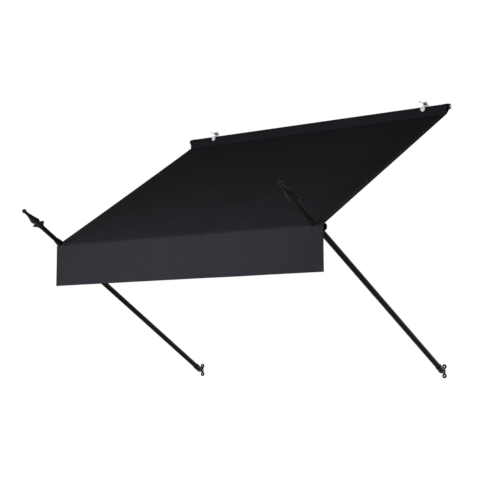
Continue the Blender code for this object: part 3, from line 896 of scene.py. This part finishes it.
    def thickened(self, mesh: bpy.types.Mesh, material: bpy.types.Material) -> bpy.types.Object:
        """Gives a single layer its thickness and returns the finished piece."""
        cage = bmesh.new()
        cage.from_mesh(mesh)
        loose = [vertex for vertex in cage.verts if not vertex.link_faces]
        bmesh.ops.delete(cage, geom=loose, context="VERTS")
        cage.to_mesh(mesh)
        cage.free()
        piece = new_piece(self.name, mesh, material)
        wall = piece.modifiers.new("ply", "SOLIDIFY")
        wall.thickness = self.ply
        wall.offset = 0.0
        applied(piece)
        shade(piece.data, self.crease_deg)
        return piece


@dataclass
class CoverPart:
    """What the cover's two sheets share: the section, the rows of stitches and the studs' holes."""

    section: CoverSection
    thread_out: float = 0.0001
    hem_row: float = 0.0165
    end_inset: float = 0.003
    stud_hole: float = 0.0049
    seam_in: float = 0.0006

    def sewn(
        self, sheet: Sheet, crossings: Sequence[float], start: float, end: float, thread: Seamstress
    ) -> bpy.types.Object:
        """Sews a sheet: across it at some distances along it, and along both of its side hems.

        Args:
            sheet: The sheet.
            crossings: The distances at which rows cross it.
            start: Where the rows along the hems start.
            end: Where they end.
            thread: Who sews.

        Returns:
            The stitches.
        """
        out = self.section.ply / 2 + self.thread_out
        rows = [sheet.crossing(along, self.end_inset, out) for along in crossings]
        rows += [sheet.row(side, start, end, self.hem_row, out) for side in (-1.0, 1.0)]
        return thread.sew(sheet.name.replace("_sheet", "_stitches"), rows)


@dataclass
class Canopy(CoverPart):
    """The sloping sheet, with its sleeve about the head rod and its lap over the front pocket.

    The furrow is the hollow that lies along its right edge. The pull is the folds that the two head
    clamps draw into its upper part, and the ripple is the finer folds between them.
    """

    RIPPLES: ClassVar[tuple[Wave, ...]] = (Wave(41.0, 0.8, 0.6), Wave(67.0, 2.1, 0.4))

    sleeve_steps: int = 22
    ply_steps: int = 5
    slope_steps: int = 104
    lap_steps: int = 8
    back_end: float = 0.0015
    lap: float = 0.017
    drawn: float = 0.0022
    sag: float = 0.002
    side_sag: float = 0.45
    soft: float = 0.0006
    soft_turns: float = 17.0
    soft_drift: float = 2.2
    furrow: float = 0.005
    furrow_inset: float = 0.03
    furrow_reach: float = 0.075
    furrow_ends: float = 0.7
    pull: float = 0.016
    pull_fade: float = 0.16
    pull_drift: float = 0.1
    pull_width: float = 0.02
    ripple: float = 0.005
    slot_side: float = 0.003
    slot_up: float = 0.007
    seam_up: float = 0.004
    bar_row: float = 0.002
    lap_row: float = 0.004
    row_end: float = 0.004

    def __post_init__(self) -> None:
        """Lays out the section line from the back ply's foot to the front lap."""
        s = self.section
        self.top = span("canopy")
        self.front = span("valance")
        back = s.loop(s.rod, s.outer, s.head_drop, self.sleeve_steps)
        behind = line(s.head_fold + Vector((self.seam_in, self.back_end)), back[0], self.ply_steps)
        head = behind[:-1] + back + line(back[-1], s.head_fold, self.ply_steps)[1:]
        down = line(s.head_fold, s.touch, self.slope_steps)
        over = math.degrees(math.atan2(s.normal.y, s.normal.x))
        lap = arc(s.bar, s.outer, over, over + math.degrees(self.lap / s.outer), self.lap_steps)
        self.profile = head + down[1:] + lap[1:]
        lengths = arc_lengths(self.profile)
        self.length = lengths[-1]
        self.fold_at = lengths[len(head) - 1]
        self.touch_at = self.fold_at + (s.touch - s.head_fold).length
        slot_top = s.rod.y + self.slot_up
        self.slot_end = next(at for at, place in zip(lengths, self.profile) if place.y > slot_top)
        self.slots = []
        for left, right in (span("clamp_bracket_" + side) for side in SIDES):
            self.slots.append(((left + right) / 2, (right - left) / 2 + self.slot_side))

    def down_slope(self, along: float) -> float:
        """How far down the slope a place along the section lies: 0 at the fold, 1 at the bar."""
        return (along - self.fold_at) / (self.touch_at - self.fold_at)

    def edge(self, side: float) -> Callable[[float], float]:
        """The side edge, at -1 or 1, as a function of the distance along the section."""
        top = self.top[side > 0]
        front = self.front[side > 0]

        def at(along: float) -> float:
            """The edge's x here: straight on the rod and drawn in a little on the slope."""
            share = held(self.down_slope(along))
            return top + (front - top) * share - side * self.drawn * math.sin(math.pi * share)

        return at

    def lift(self, x: float, along: float) -> float:
        """How far the cloth lies off its section line: its sag and furrow, and its soft folds."""
        share = self.down_slope(along)
        if not 0.0 < share < 1.0:
            return 0.0
        bow = math.sin(math.pi * share)
        across = (x - self.top[0]) / (self.top[1] - self.top[0])
        belly = bow * (self.side_sag + (1.0 - self.side_sag) * math.sin(math.pi * held(across)))
        inside = self.edge(1.0)(along) - x
        fall = math.exp(-((max(inside - self.furrow_inset, 0.0) / self.furrow_reach) ** 2))
        furrow = eased(inside / self.furrow_inset) * fall * bow**self.furrow_ends
        soft = math.sin(self.soft_turns * across + self.soft_drift * share) * bow
        folds = sum(
            math.exp(-(((x - middle + self.pull_drift * share) / self.pull_width) ** 2))
            for middle, _ in self.slots
        )
        ripples = sum(wave.at(x) for wave in self.RIPPLES)
        pull = share * math.exp(-share / self.pull_fade) * (self.pull * folds + self.ripple * ripples)
        return self.soft * soft + pull - self.sag * belly - self.furrow * furrow

    def holes(self, x: float, along: float) -> bool:
        """Whether the cloth is cut away here for a head clamp."""
        return along <= self.slot_end and any(abs(x - middle) < half for middle, half in self.slots)

    def build(self, finishes: Finishes) -> None:
        """Builds the sheet and its stitches.

        Args:
            finishes: The awning's finishes.
        """
        sheet = Sheet(
            "canopy_sheet",
            self.profile,
            self.edge(-1.0),
            self.edge(1.0),
            self.section.ply,
            self.section.under,
            lift=self.lift,
            holes=self.holes,
            stops=[middle + way * half for middle, half in self.slots for way in (-1.0, 1.0)],
            bores=bar_bores(self.stud_hole, beyond=True),
        )
        piece = sheet.build(finishes.cloth)
        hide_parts("canopy")
        crossings = [
            self.fold_at - self.seam_up,
            self.touch_at - self.bar_row,
            self.length - self.lap_row,
        ]
        start, end = self.fold_at + self.row_end, self.touch_at - self.row_end
        stitches = self.sewn(sheet, crossings, start, end, Seamstress(finishes.thread))
        fold, touch = self.section.head_fold, self.section.touch
        for sewn in (piece, stitches):
            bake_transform(sewn, WALL_BODY, ARM_BODY, (0.0, fold.x, fold.y), (0.0, touch.x, touch.y))
            report(sewn, "both bodies")


@dataclass
class Valance(CoverPart):
    """The front sheet: a pocket about the bar and the flap that hangs from it in soft waves."""

    WAVES: ClassVar[tuple[Wave, ...]] = (Wave(9.0, 0.6, 0.6), Wave(23.0, 1.9, 0.4))

    pocket_steps: int = 26
    ply_steps: int = 6
    flap_steps: int = 26
    hem_steps: int = 4
    hem: float = 0.016
    hem_lift: float = 0.0003
    wave: float = 0.0016
    wave_from: float = 0.02
    wave_over: float = 0.12
    arm_hole: float = 0.0111
    hem_stitch_up: float = 0.003
    row_end: float = 0.002

    def __post_init__(self) -> None:
        """Lays out the section line from the back ply's foot to the turned-up hem."""
        s = self.section
        self.sides = span("valance")
        pocket = s.loop(s.bar, s.inner, s.pocket_drop, self.pocket_steps)
        seam = s.bar + Vector((-s.inner + self.seam_in, -s.pocket_drop))
        upper = line(seam, pocket[0], self.ply_steps)[:-1] + pocket
        top = pocket[-1]
        foot = Vector((top.x, s.hem_height + self.hem_lift))
        turned = foot + Vector((self.seam_in, 0.0))
        hem_end = Vector((turned.x, turned.y + self.hem))
        flap = line(top, foot, self.flap_steps)[1:]
        self.profile = upper + flap + line(turned, hem_end, self.hem_steps)
        self.bar_start = arc_lengths(upper)[-1]
        self.foot_at = self.bar_start + (top - foot).length

    def lift(self, x: float, along: float) -> float:
        """The flap's soft waves, growing towards its hem."""
        share = held((along - self.bar_start - self.wave_from) / self.wave_over)
        return self.wave * share * share * sum(wave.at(x) for wave in self.WAVES)

    def build(self, finishes: Finishes) -> None:
        """Builds the sheet and its stitches.

        Args:
            finishes: The awning's finishes.
        """
        left, right = self.sides
        sheet = Sheet(
            "valance_sheet",
            self.profile,
            lambda along: left,
            lambda along: right,
            self.section.ply,
            self.section.under,
            lift=self.lift,
            bores=bar_bores(self.stud_hole, beyond=True) + bar_bores(self.arm_hole, beyond=False),
        )
        piece = sheet.build(finishes.cloth)
        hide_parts("valance")
        crossings = [
            self.foot_at - self.hem + self.hem_stitch_up,
            self.bar_start + self.section.pocket_drop,
        ]
        start, end = self.bar_start + self.row_end, self.foot_at - self.row_end
        stitches = self.sewn(sheet, crossings, start, end, Seamstress(finishes.thread))
        for sewn in (piece, stitches):
            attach(sewn, ARM_BODY)
            report(sewn, ARM_BODY)


@dataclass
class Refiner:
    """Makes the finer surface of a CAD node: rounder turned faces, and soft edges that catch light."""

    finishes: Finishes
    bevel_deg: float = 33.0
    bevel_rings: int = 2
    flat_deg: float = 0.4
    least_facet_deg: float = 1.0
    most_facet_deg: float = 40.0
    match: float = 0.00002

    def refine(
        self,
        node: str,
        axes: Sequence[Axis],
        edge: float,
        finish: bpy.types.Material | None = None,
    ) -> None:
        """Replaces a CAD node by its finer piece.

        Args:
            node: The CAD node.
            axes: The lines that its round faces turn about.
            edge: The width of its softened edges.
            finish: Its finish, if it isn't its slot's own.
        """
        solid = frame["nodes"][node]
        slot = slot_of(node)
        cage = bmesh.new()
        cage.from_mesh(solid.data)
        bmesh.ops.remove_doubles(cage, verts=cage.verts, dist=self.match / 4)
        flat = math.radians(self.flat_deg)
        bmesh.ops.dissolve_limit(cage, angle_limit=flat, verts=cage.verts, edges=cage.edges)
        for axis in axes:
            self.halve(cage, axis)
        mesh = bpy.data.meshes.new(node + "_detail")
        cage.to_mesh(mesh)
        cage.free()
        mesh.shade_smooth()
        piece = new_piece(node + "_detail", mesh, finish or self.finishes.of(slot))
        self.soften(piece, edge)
        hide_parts(node)
        body = body_of(solid)[0]
        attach(piece, body)
        report(piece, body)

    def halve(self, cage: bmesh.types.BMesh, axis: Axis) -> None:
        """Splits every facet that turns about an axis, and puts the new points on the true circle."""
        rims, radii = [], {}
        least, most = math.radians(self.least_facet_deg), math.radians(self.most_facet_deg)
        for edge in cage.edges:
            (low, near), (high, far) = (axis.split(vertex.co) for vertex in edge.verts)
            level = abs(low - high) < self.match and abs(near.length - far.length) < self.match
            if level and near.length >= self.match and least <= near.angle(far) < most:
                rims.append(edge)
                radii[((edge.verts[0].co + edge.verts[1].co) / 2).freeze()] = near.length
        made = bmesh.ops.subdivide_edges(cage, edges=rims, cuts=1, use_grid_fill=True)
        for vertex in {item for item in made["geom_inner"] if isinstance(item, bmesh.types.BMVert)}:
            radius = radii.get(vertex.co.copy().freeze())
            if radius:
                reach, out = axis.split(vertex.co)
                vertex.co = axis.at(reach) + out.normalized() * radius

    def soften(self, piece: bpy.types.Object, edge: float) -> None:
        """Bevels a piece's sharp edges and weights its normals towards its large faces."""
        round_off = piece.modifiers.new("edges", "BEVEL")
        round_off.width = edge
        round_off.segments = self.bevel_rings
        round_off.limit_method = "ANGLE"
        round_off.angle_limit = math.radians(self.bevel_deg)
        weigh = piece.modifiers.new("normals", "WEIGHTED_NORMAL")
        weigh.keep_sharp = True
        applied(piece)


class GeometryTree:
    """A Geometry Nodes tree with named sizes, run once on a guide to make one plain piece."""

    def __init__(self, name: str, sizes: dict[str, float]) -> None:
        """Makes the tree with its sockets.

        Args:
            name: The tree's name.
            sizes: Its sizes by their names.
        """
        self.tree = bpy.data.node_groups.new(name, "GeometryNodeTree")
        self.sizes = sizes
        sockets = self.tree.interface
        sockets.new_socket("Guide", in_out="INPUT", socket_type="NodeSocketGeometry")
        for size in sizes:
            sockets.new_socket(size, in_out="INPUT", socket_type="NodeSocketFloat")
        sockets.new_socket("Pieces", in_out="OUTPUT", socket_type="NodeSocketGeometry")
        self.nodes = NodeMaker(self.tree)
        self.given = self.nodes.add("NodeGroupInput").outputs

    def close(self, shape: bpy.types.NodeSocket, material: bpy.types.Material) -> None:
        """Ends the tree: instances become real, take the material and leave by the output."""
        real = self.nodes.add("GeometryNodeRealizeInstances", {"Geometry": shape})
        values = {"Geometry": real.outputs[0], "Material": material}
        done = self.nodes.add("GeometryNodeSetMaterial", values)
        self.nodes.add("NodeGroupOutput", {"Pieces": done.outputs[0]})

    def run(self, name: str, guide: bpy.types.Mesh) -> bpy.types.Object:
        """Runs the tree on a guide mesh.

        Args:
            name: The new piece's name.
            guide: The mesh that the tree works on.

        Returns:
            The piece, as plain mesh.
        """
        piece = bpy.data.objects.new(name, guide)
        bpy.context.scene.collection.objects.link(piece)
        modifier = piece.modifiers.new(self.tree.name, "NODES")
        modifier.node_group = self.tree
        named = {item.name: item.identifier for item in self.tree.interface.items_tree}
        for size, value in self.sizes.items():
            modifier[named[size]] = value
        return applied(piece)


@dataclass
class Seamstress:
    """Sews rows of lock stitches along lines on a sheet."""

    thread: bpy.types.Material
    pitch: float = 0.0036
    length: float = 0.0029
    width: float = 0.00075
    height: float = 0.0005

    def tree(self) -> GeometryTree:
        """Builds the tree: one flattened bead of thread at every pitch, turned along its line.

        Returns:
            The tree, ready to run on lines.
        """
        names = ("Pitch", "Stitch Length", "Thread Width", "Thread Height")
        sizes = dict(zip(names, (self.pitch, self.length, self.width, self.height)))
        made = GeometryTree("lock stitches", sizes)
        nodes, given = made.nodes, made.given
        lines = nodes.add("GeometryNodeMeshToCurve", {"Mesh": given["Guide"]})
        spaced = {"Curve": lines.outputs[0], "Length": given["Pitch"]}
        places = nodes.add("GeometryNodeCurveToPoints", spaced, mode="LENGTH")
        tangent = {"Vector": places.outputs["Tangent"]}
        along = nodes.add("FunctionNodeAlignRotationToVector", tangent, axis="X")
        bead = nodes.add("GeometryNodeMeshUVSphere", {"Segments": 6, "Rings": 5, "Radius": 0.5})
        box = {number: given[name] for number, name in enumerate(names[1:])}
        size = nodes.add("ShaderNodeCombineXYZ", box).outputs[0]
        sized = {"Geometry": bead.outputs["Mesh"], "Scale": size}
        stitch = nodes.add("GeometryNodeTransform", sized).outputs[0]
        placed = {"Points": places.outputs["Points"], "Instance": stitch, "Rotation": along.outputs[0]}
        sewn = nodes.add("GeometryNodeInstanceOnPoints", placed)
        smooth = nodes.add("GeometryNodeSetShadeSmooth", {"Geometry": sewn.outputs[0]})
        made.close(smooth.outputs[0], self.thread)
        return made

    def sew(self, name: str, rows: Sequence[Sequence[Vector]]) -> bpy.types.Object:
        """Sews rows of stitches.

        Args:
            name: The piece's name.
            rows: The lines, as points.

        Returns:
            The stitches, as one piece.
        """
        guide = bpy.data.meshes.new(name)
        points, edges = [], []
        for row in rows:
            edges += [(len(points) + step, len(points) + step + 1) for step in range(len(row) - 1)]
            points += row
        guide.from_pydata(points, edges, [])
        piece = self.tree().run(name, guide)
        return piece


@dataclass
class ScrewThread:
    """A fine screw thread wound on a stud."""

    pitch: float = 0.0009
    depth: float = 0.00022
    around: int = 28

    def wind(
        self,
        name: str,
        place: Matrix,
        radius: float,
        length: float,
        finish: bpy.types.Material,
    ) -> bpy.types.Object:
        """Winds the thread.

        Args:
            name: The piece's name.
            place: Where the thread starts, with Z along the stud.
            radius: The stud's radius.
            length: How far the thread runs.
            finish: Its finish.

        Returns:
            The thread's ridge, as one piece.
        """
        sizes = {"Pitch": self.pitch, "Radius": radius, "Length": length, "Depth": self.depth}
        made = GeometryTree("screw thread", sizes)
        nodes, given = made.nodes, made.given
        helix = {
            "Resolution": self.around,
            "Rotations": nodes.maths("DIVIDE", given["Length"], given["Pitch"]),
            "Start Radius": given["Radius"],
            "End Radius": given["Radius"],
            "Height": given["Length"],
        }
        spiral = nodes.add("GeometryNodeCurveSpiral", helix)
        section = {"Resolution": 3, "Radius": given["Depth"]}
        ridge = nodes.add("GeometryNodeCurvePrimitiveCircle", section)
        swept = {"Curve": spiral.outputs[0], "Profile Curve": ridge.outputs[0], "Fill Caps": True}
        made.close(nodes.add("GeometryNodeCurveToMesh", swept).outputs[0], finish)
        piece = made.run(name, bpy.data.meshes.new(name))
        piece.data.transform(place)
        return piece


@dataclass
class HeadRail:
    """The head rod with its end caps and their screws."""

    rod_edge: float = 0.0002
    cap_edge: float = 0.0008
    screw_edge: float = 0.0003

    def dress(self, refiner: Refiner) -> None:
        """Refines the rail's pieces.

        Args:
            refiner: What makes and finishes each piece.
        """
        rod = [Axis.through("head_rod", ALONG_X)]
        refiner.refine("head_rod", rod, self.rod_edge)
        for side in SIDES:
            refiner.refine("head_rod_cap_" + side, rod, self.cap_edge)
            refiner.refine("head_cap_screw_" + side, rod, self.screw_edge)


@dataclass
class HeadClamp:
    """One head clamp: the bracket that hooks under the rod, its strap, stud and wing nut."""

    side: str
    plate_edge: float = 0.0005
    stud_edge: float = 0.0002
    wing_edge: float = 0.0006
    thread_in: float = 0.0035
    thread_end: float = 0.0009

    def dress(self, refiner: Refiner) -> None:
        """Refines the clamp's pieces and winds the stud's thread.

        Args:
            refiner: What makes and finishes each piece.
        """
        rod = Axis.through("head_rod", ALONG_X)
        stud_node = "clamp_stud_" + self.side
        stud = Axis.through(stud_node, OUT_OF_WALL)
        tab = self.tab_round("clamp_bracket_" + self.side)
        dull = refiner.finishes.dull_zinc
        refiner.refine("clamp_bracket_" + self.side, [rod, tab, stud], self.plate_edge, dull)
        refiner.refine("clamp_strap_" + self.side, [rod, tab, stud], self.plate_edge)
        refiner.refine(stud_node, [stud], self.stud_edge, dull)
        refiner.refine("wing_nut_" + self.side, [stud], self.wing_edge, dull)
        self.thread(stud, dull)

    def tab_round(self, node: str) -> Axis:
        """The centre line of the tab's round top."""
        low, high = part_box(node)
        half = (high.x - low.x) / 2
        return Axis(Vector((low.x + half, 0.0, high.z - half)), Vector(OUT_OF_WALL))

    def thread(self, stud: Axis, finish: bpy.types.Material) -> None:
        """Winds the thread on the stretch of the stud that stands out of the nut."""
        low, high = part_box("clamp_stud_" + self.side)
        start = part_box("wing_nut_" + self.side)[1].y - self.thread_in
        place = Matrix.Translation((stud.point.x, start, stud.point.z))
        place @= Matrix.Rotation(math.pi / 2, 4, "X")
        radius = (high.x - low.x) / 2
        length = start - low.y - self.thread_end
        piece = ScrewThread().wind("clamp_thread_" + self.side, place, radius, length, finish)
        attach(piece, WALL_BODY)
        report(piece, WALL_BODY)


@dataclass
class FrontBar:
    """The front bar with its end caps."""

    bar_edge: float = 0.0002
    cap_edge: float = 0.0008

    def dress(self, refiner: Refiner) -> None:
        """Refines the bar's pieces.

        Args:
            refiner: What makes and finishes each piece.
        """
        bar = [Axis.through("front_bar", ALONG_X)]
        refiner.refine("front_bar", bar, self.bar_edge)
        for side in SIDES:
            refiner.refine("front_bar_cap_" + side, bar, self.cap_edge)


@dataclass
class WallBracket:
    """One lower wall bracket with the pin that the arm turns on."""

    side: str
    cast_edge: float = 0.0009
    pin_edge: float = 0.0003

    def dress(self, refiner: Refiner) -> None:
        """Refines the bracket and its pin.

        Args:
            refiner: What makes and finishes each piece.
        """
        node = "wall_bracket_" + self.side
        low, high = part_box(node)
        half = (high.x - low.x) / 2
        out = Vector(OUT_OF_WALL)
        heights = (low.z + half, high.z - half)
        lobes = [Axis(Vector((low.x + half, 0.0, height)), out) for height in heights]
        pin = Axis.through("pivot_pin_" + self.side, ALONG_X)
        refiner.refine(node, [*lobes, pin], self.cast_edge)
        blackened = refiner.finishes.black_zinc
        refiner.refine("pivot_pin_" + self.side, [pin], self.pin_edge, blackened)


@dataclass
class Arm:
    """One arm: its fork on the wall bracket, its tube, and the plug, stud and nut at the front bar."""

    side: str
    fork_edge: float = 0.0008
    tube_edge: float = 0.0003
    plug_edge: float = 0.0005
    fixing_edge: float = 0.0004

    def dress(self, refiner: Refiner) -> None:
        """Refines the arm's pieces.

        Args:
            refiner: What makes and finishes each piece.
        """
        arm = Axis.of_arm(self.side)
        pin = Axis.through("pivot_pin_" + self.side, ALONG_X)
        finishes = refiner.finishes
        refiner.refine("arm_fork_" + self.side, [arm, pin], self.fork_edge)
        refiner.refine("arm_tube_" + self.side, [arm], self.tube_edge)
        refiner.refine("arm_plug_" + self.side, [arm], self.plug_edge)
        refiner.refine("bar_stud_" + self.side, [arm], self.tube_edge)
        refiner.refine("grommet_" + self.side, [arm], self.tube_edge, finishes.black_zinc)
        refiner.refine("lock_nut_" + self.side, [arm], self.fixing_edge, finishes.dull_zinc)


@dataclass
class Spear:
    """One spear beyond the front bar: collar, tube and the cast head with its ball tip.

    The head is flat where it is much wider than thick. There its sections are soft rhombuses, with
    the casting's parting line along both sides.
    """

    side: str
    collar_edge: float = 0.0009
    tube_edge: float = 0.0003
    around: int = 48
    step: float = 0.0011
    corner_deg: float = 42.0
    crease_deg: float = 40.0
    flat_from: float = 1.0
    flat_over: float = 0.7
    sharpest: float = 1.3
    parting: float = 0.00022
    same_row: float = 0.0002

    def dress(self, refiner: Refiner) -> None:
        """Refines the collar and the tube and builds the head.

        Args:
            refiner: What makes and finishes each piece.
        """
        self.axis = Axis.of_arm(self.side)
        refiner.refine("spear_collar_" + self.side, [self.axis], self.collar_edge)
        refiner.refine("spear_tube_" + self.side, [self.axis], self.tube_edge)
        self.head(refiner.finishes.casting)

    def stations(self, points: Sequence[Vector]) -> list[Vector]:
        """The casting's sections, read from the CAD node.

        Args:
            points: The node's points beyond the spear tube.

        Returns:
            For each section, its place along the axis, its half width and its half thickness.
        """
        rows: list[Vector] = []
        for reach, out in sorted(map(self.axis.split, points), key=lambda pair: pair[0]):
            if not rows or reach - rows[-1].x > self.same_row:
                rows.append(Vector((reach, 0.0, 0.0)))
            rows[-1].y = max(rows[-1].y, abs(out.dot(self.wide)))
            rows[-1].z = max(rows[-1].z, abs(out.dot(self.thin)))
        return rows

    def smoothed(self, chain: Sequence[Vector]) -> list[Vector]:
        """A smooth line through stations, kept sharp where the chain turns a corner."""
        bends = [0]
        for index in range(1, len(chain) - 1):
            turn = (chain[index] - chain[index - 1]).angle(chain[index + 1] - chain[index], 0.0)
            if math.degrees(turn) > self.corner_deg:
                bends.append(index)
        bends.append(len(chain) - 1)
        smooth: list[Vector] = []
        for first, last in zip(bends, bends[1:]):
            smooth += catmull_rom(chain[first : last + 1], self.step)[:-1]
        return smooth + [chain[-1]]

    def head(self, finish: bpy.types.Material) -> None:
        """Builds the head.

        Args:
            finish: The casting's finish.
        """
        node = "spear_head_" + self.side
        tube = frame["nodes"]["spear_tube_" + self.side].data.vertices
        tube_end = max(self.axis.split(vertex.co)[0] for vertex in tube)
        spots = [vertex.co.copy() for vertex in frame["nodes"][node].data.vertices]
        points = [spot for spot in spots if self.axis.split(spot)[0] > tube_end]
        widest = max((self.axis.split(spot)[1] for spot in points), key=lambda out: out.length)
        self.wide = widest.normalized()
        self.thin = self.axis.along.cross(self.wide)
        rows = self.smoothed(self.stations(points))
        cage = bmesh.new()
        rings = [[cage.verts.new(spot) for spot in self.ring(row)] for row in rows[:-1]]
        foot, tip = (cage.verts.new(self.axis.at(row.x)) for row in (rows[0], rows[-1]))
        pairs = list(zip(range(self.around), [*range(1, self.around), 0]))
        for low, high in zip(rings, rings[1:]):
            for here, there in pairs:
                cage.faces.new((low[here], low[there], high[there], high[here]))
        for here, there in pairs:
            cage.faces.new((foot, rings[0][there], rings[0][here]))
            cage.faces.new((tip, rings[-1][here], rings[-1][there]))
        bmesh.ops.recalc_face_normals(cage, faces=cage.faces)
        mesh = bpy.data.meshes.new(node + "_detail")
        cage.to_mesh(mesh)
        cage.free()
        shade(mesh, self.crease_deg)
        piece = new_piece(node + "_detail", mesh, finish)
        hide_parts(node)
        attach(piece, ARM_BODY)
        report(piece, ARM_BODY)

    def ring(self, row: Vector) -> list[Vector]:
        """One section of the casting: round where it is as thick as wide, and else a soft rhombus."""
        flat = held((row.y / max(row.z, 1e-6) - self.flat_from) / self.flat_over)
        power = 2.0 / (2.0 - (2.0 - self.sharpest) * eased(flat))
        centre = self.axis.at(row.x)
        spots = []
        for step in range(self.around):
            angle = 2.0 * math.pi * step / self.around
            across = math.copysign(abs(math.cos(angle)) ** power, math.cos(angle))
            up = math.copysign(abs(math.sin(angle)) ** power, math.sin(angle))
            seam = self.parting * flat if step % (self.around // 2) == 0 else 0.0
            reach = across * row.y + math.copysign(seam, across)
            spots.append(centre + self.wide * reach + self.thin * up * row.z)
        return spots


def catmull_rom(points: Sequence[Vector], step: float) -> list[Vector]:
    """A smooth curve through points.

    Args:
        points: The points that it passes.
        step: About how far apart its own points lie.

    Returns:
        The curve's points, both ends included.
    """
    padded = [2 * points[0] - points[1], *points, 2 * points[-1] - points[-2]]
    curve = []
    for before, start, end, after in zip(padded, padded[1:], padded[2:], padded[3:]):
        count = max(1, round((end - start).length / step))
        bend = 2 * before - 5 * start + 4 * end - after
        twist = 3 * start - before - 3 * end + after
        for share in (index / count for index in range(count)):
            way = 2 * start + (end - before) * share + bend * share**2 + twist * share**3
            curve.append(0.5 * way)
    return curve + [points[-1].copy()]


@dataclass(frozen=True)
class Softbox:
    """One lamp, which only lights and isn't itself in view."""

    name: str
    place: tuple[float, float, float]
    aim: tuple[float, float, float]
    size: tuple[float, float]
    power: float

    def build(self) -> None:
        """Puts the lamp in the scene, turned to its aim."""
        data = bpy.data.lights.new(self.name, "AREA")
        data.shape = "RECTANGLE"
        data.size, data.size_y = self.size
        data.energy = self.power
        light = bpy.data.objects.new(self.name, data)
        bpy.context.scene.collection.objects.link(light)
        light.visible_camera = False
        light.location = self.place
        way = Vector(self.aim) - Vector(self.place)
        light.rotation_euler = way.to_track_quat("-Z", "Y").to_euler()


@dataclass
class Studio:
    """A plain pale floor and backdrop, soft lamps and the camera at the photograph's angle."""

    LAMPS: ClassVar[tuple[Softbox, ...]] = (
        Softbox("front_softbox", (0.42, -1.68, 0.32), (0.40, -0.8, 0.40), (1.9, 0.5), 12.0),
        Softbox("back_softbox", (0.6, 2.4, 0.0), (0.6, -0.8, 0.45), (4.2, 1.2), 45.0),
    )

    floor_height: float = -0.75
    floor_half: float = 30.0
    floor_grey: float = 0.82
    floor_glow: float = 0.97
    world_light: float = 0.055
    eye: tuple[float, float, float] = (3.291, -3.966, 0.035)
    turn_deg: tuple[float, float, float] = (95.56, 0.0, 37.99)
    lens: float = 93.5
    sensor: float = 36.0

    def build(self) -> None:
        """Builds the stage."""
        self.camera()
        self.world()
        self.floor()
        for lamp in self.LAMPS:
            lamp.build()

    def camera(self) -> None:
        """Makes the camera and hands it to the scene."""
        data = bpy.data.cameras.new("camera")
        data.lens = self.lens
        data.sensor_width = self.sensor
        camera = bpy.data.objects.new("camera", data)
        bpy.context.scene.collection.objects.link(camera)
        camera.location = self.eye
        camera.rotation_euler = [math.radians(turn) for turn in self.turn_deg]
        bpy.context.scene.camera = camera

    def world(self) -> None:
        """Weak even light, shown as white to the camera and in gloss."""
        world = bpy.data.worlds.new("studio")
        bpy.context.scene.world = world
        world.use_nodes = True
        nodes = NodeMaker(world.node_tree)
        light = nodes.add("ShaderNodeBackground", {"Color": WHITE, "Strength": self.world_light})
        shown = nodes.add("ShaderNodeBackground", {"Color": WHITE, "Strength": 1.0})
        mix = nodes.mixed(self.seen(nodes), light, shown)
        nodes.fill(world.node_tree.nodes["World Output"], {"Surface": mix.outputs[0]})

    def seen(self, nodes: NodeMaker) -> bpy.types.NodeSocket:
        """Whether a ray comes from the camera, or from gloss or glass."""
        path = nodes.add("ShaderNodeLightPath")
        gloss = nodes.maths("MAXIMUM", path.outputs["Is Camera Ray"], path.outputs["Is Glossy Ray"])
        return nodes.maths("MAXIMUM", gloss, path.outputs["Is Transmission Ray"])

    def floor(self) -> None:
        """A wide floor, white but for the awning's soft shadow, and clear from underneath."""
        cage = bmesh.new()
        bmesh.ops.create_grid(cage, x_segments=4, y_segments=4, size=self.floor_half)
        bmesh.ops.translate(cage, vec=(0.0, 0.0, self.floor_height), verts=cage.verts)
        mesh = bpy.data.meshes.new("floor")
        cage.to_mesh(mesh)
        cage.free()
        material, nodes, shader = new_material("pale floor")
        grey = (self.floor_grey, self.floor_grey, self.floor_grey, 1.0)
        nodes.fill(shader, {"Base Color": grey, "Roughness": 0.9})
        dark = nodes.add("ShaderNodeEmission", {"Color": BLACK, "Strength": 0.0})
        glow = nodes.add("ShaderNodeEmission", {"Color": WHITE, "Strength": self.floor_glow})
        lit = nodes.mixed(self.seen(nodes), dark, glow)
        both = nodes.add("ShaderNodeAddShader", {0: shader.outputs[0], 1: lit.outputs[0]})
        under = nodes.add("ShaderNodeNewGeometry").outputs["Backfacing"]
        shown = nodes.mixed(under, both, nodes.add("ShaderNodeBsdfTransparent"))
        nodes.fill(material.node_tree.nodes["Material Output"], {"Surface": shown.outputs[0]})
        new_piece("floor", mesh, material)


def main() -> None:
    """Builds and dresses the whole awning, the stage and the camera."""
    logging.basicConfig(level=logging.INFO, format="%(name)s %(message)s")
    bpy.context.scene.view_settings.view_transform = "Standard"
    finishes = Finishes.mixed()
    section = CoverSection.from_frame()
    refiner = Refiner(finishes)
    HeadRail().dress(refiner)
    FrontBar().dress(refiner)
    for side in SIDES:
        HeadClamp(side).dress(refiner)
        WallBracket(side).dress(refiner)
        Arm(side).dress(refiner)
        Spear(side).dress(refiner)
    Canopy(section).build(finishes)
    Valance(section).build(finishes)
    Studio().build()


if __name__ == "__main__":
    main()
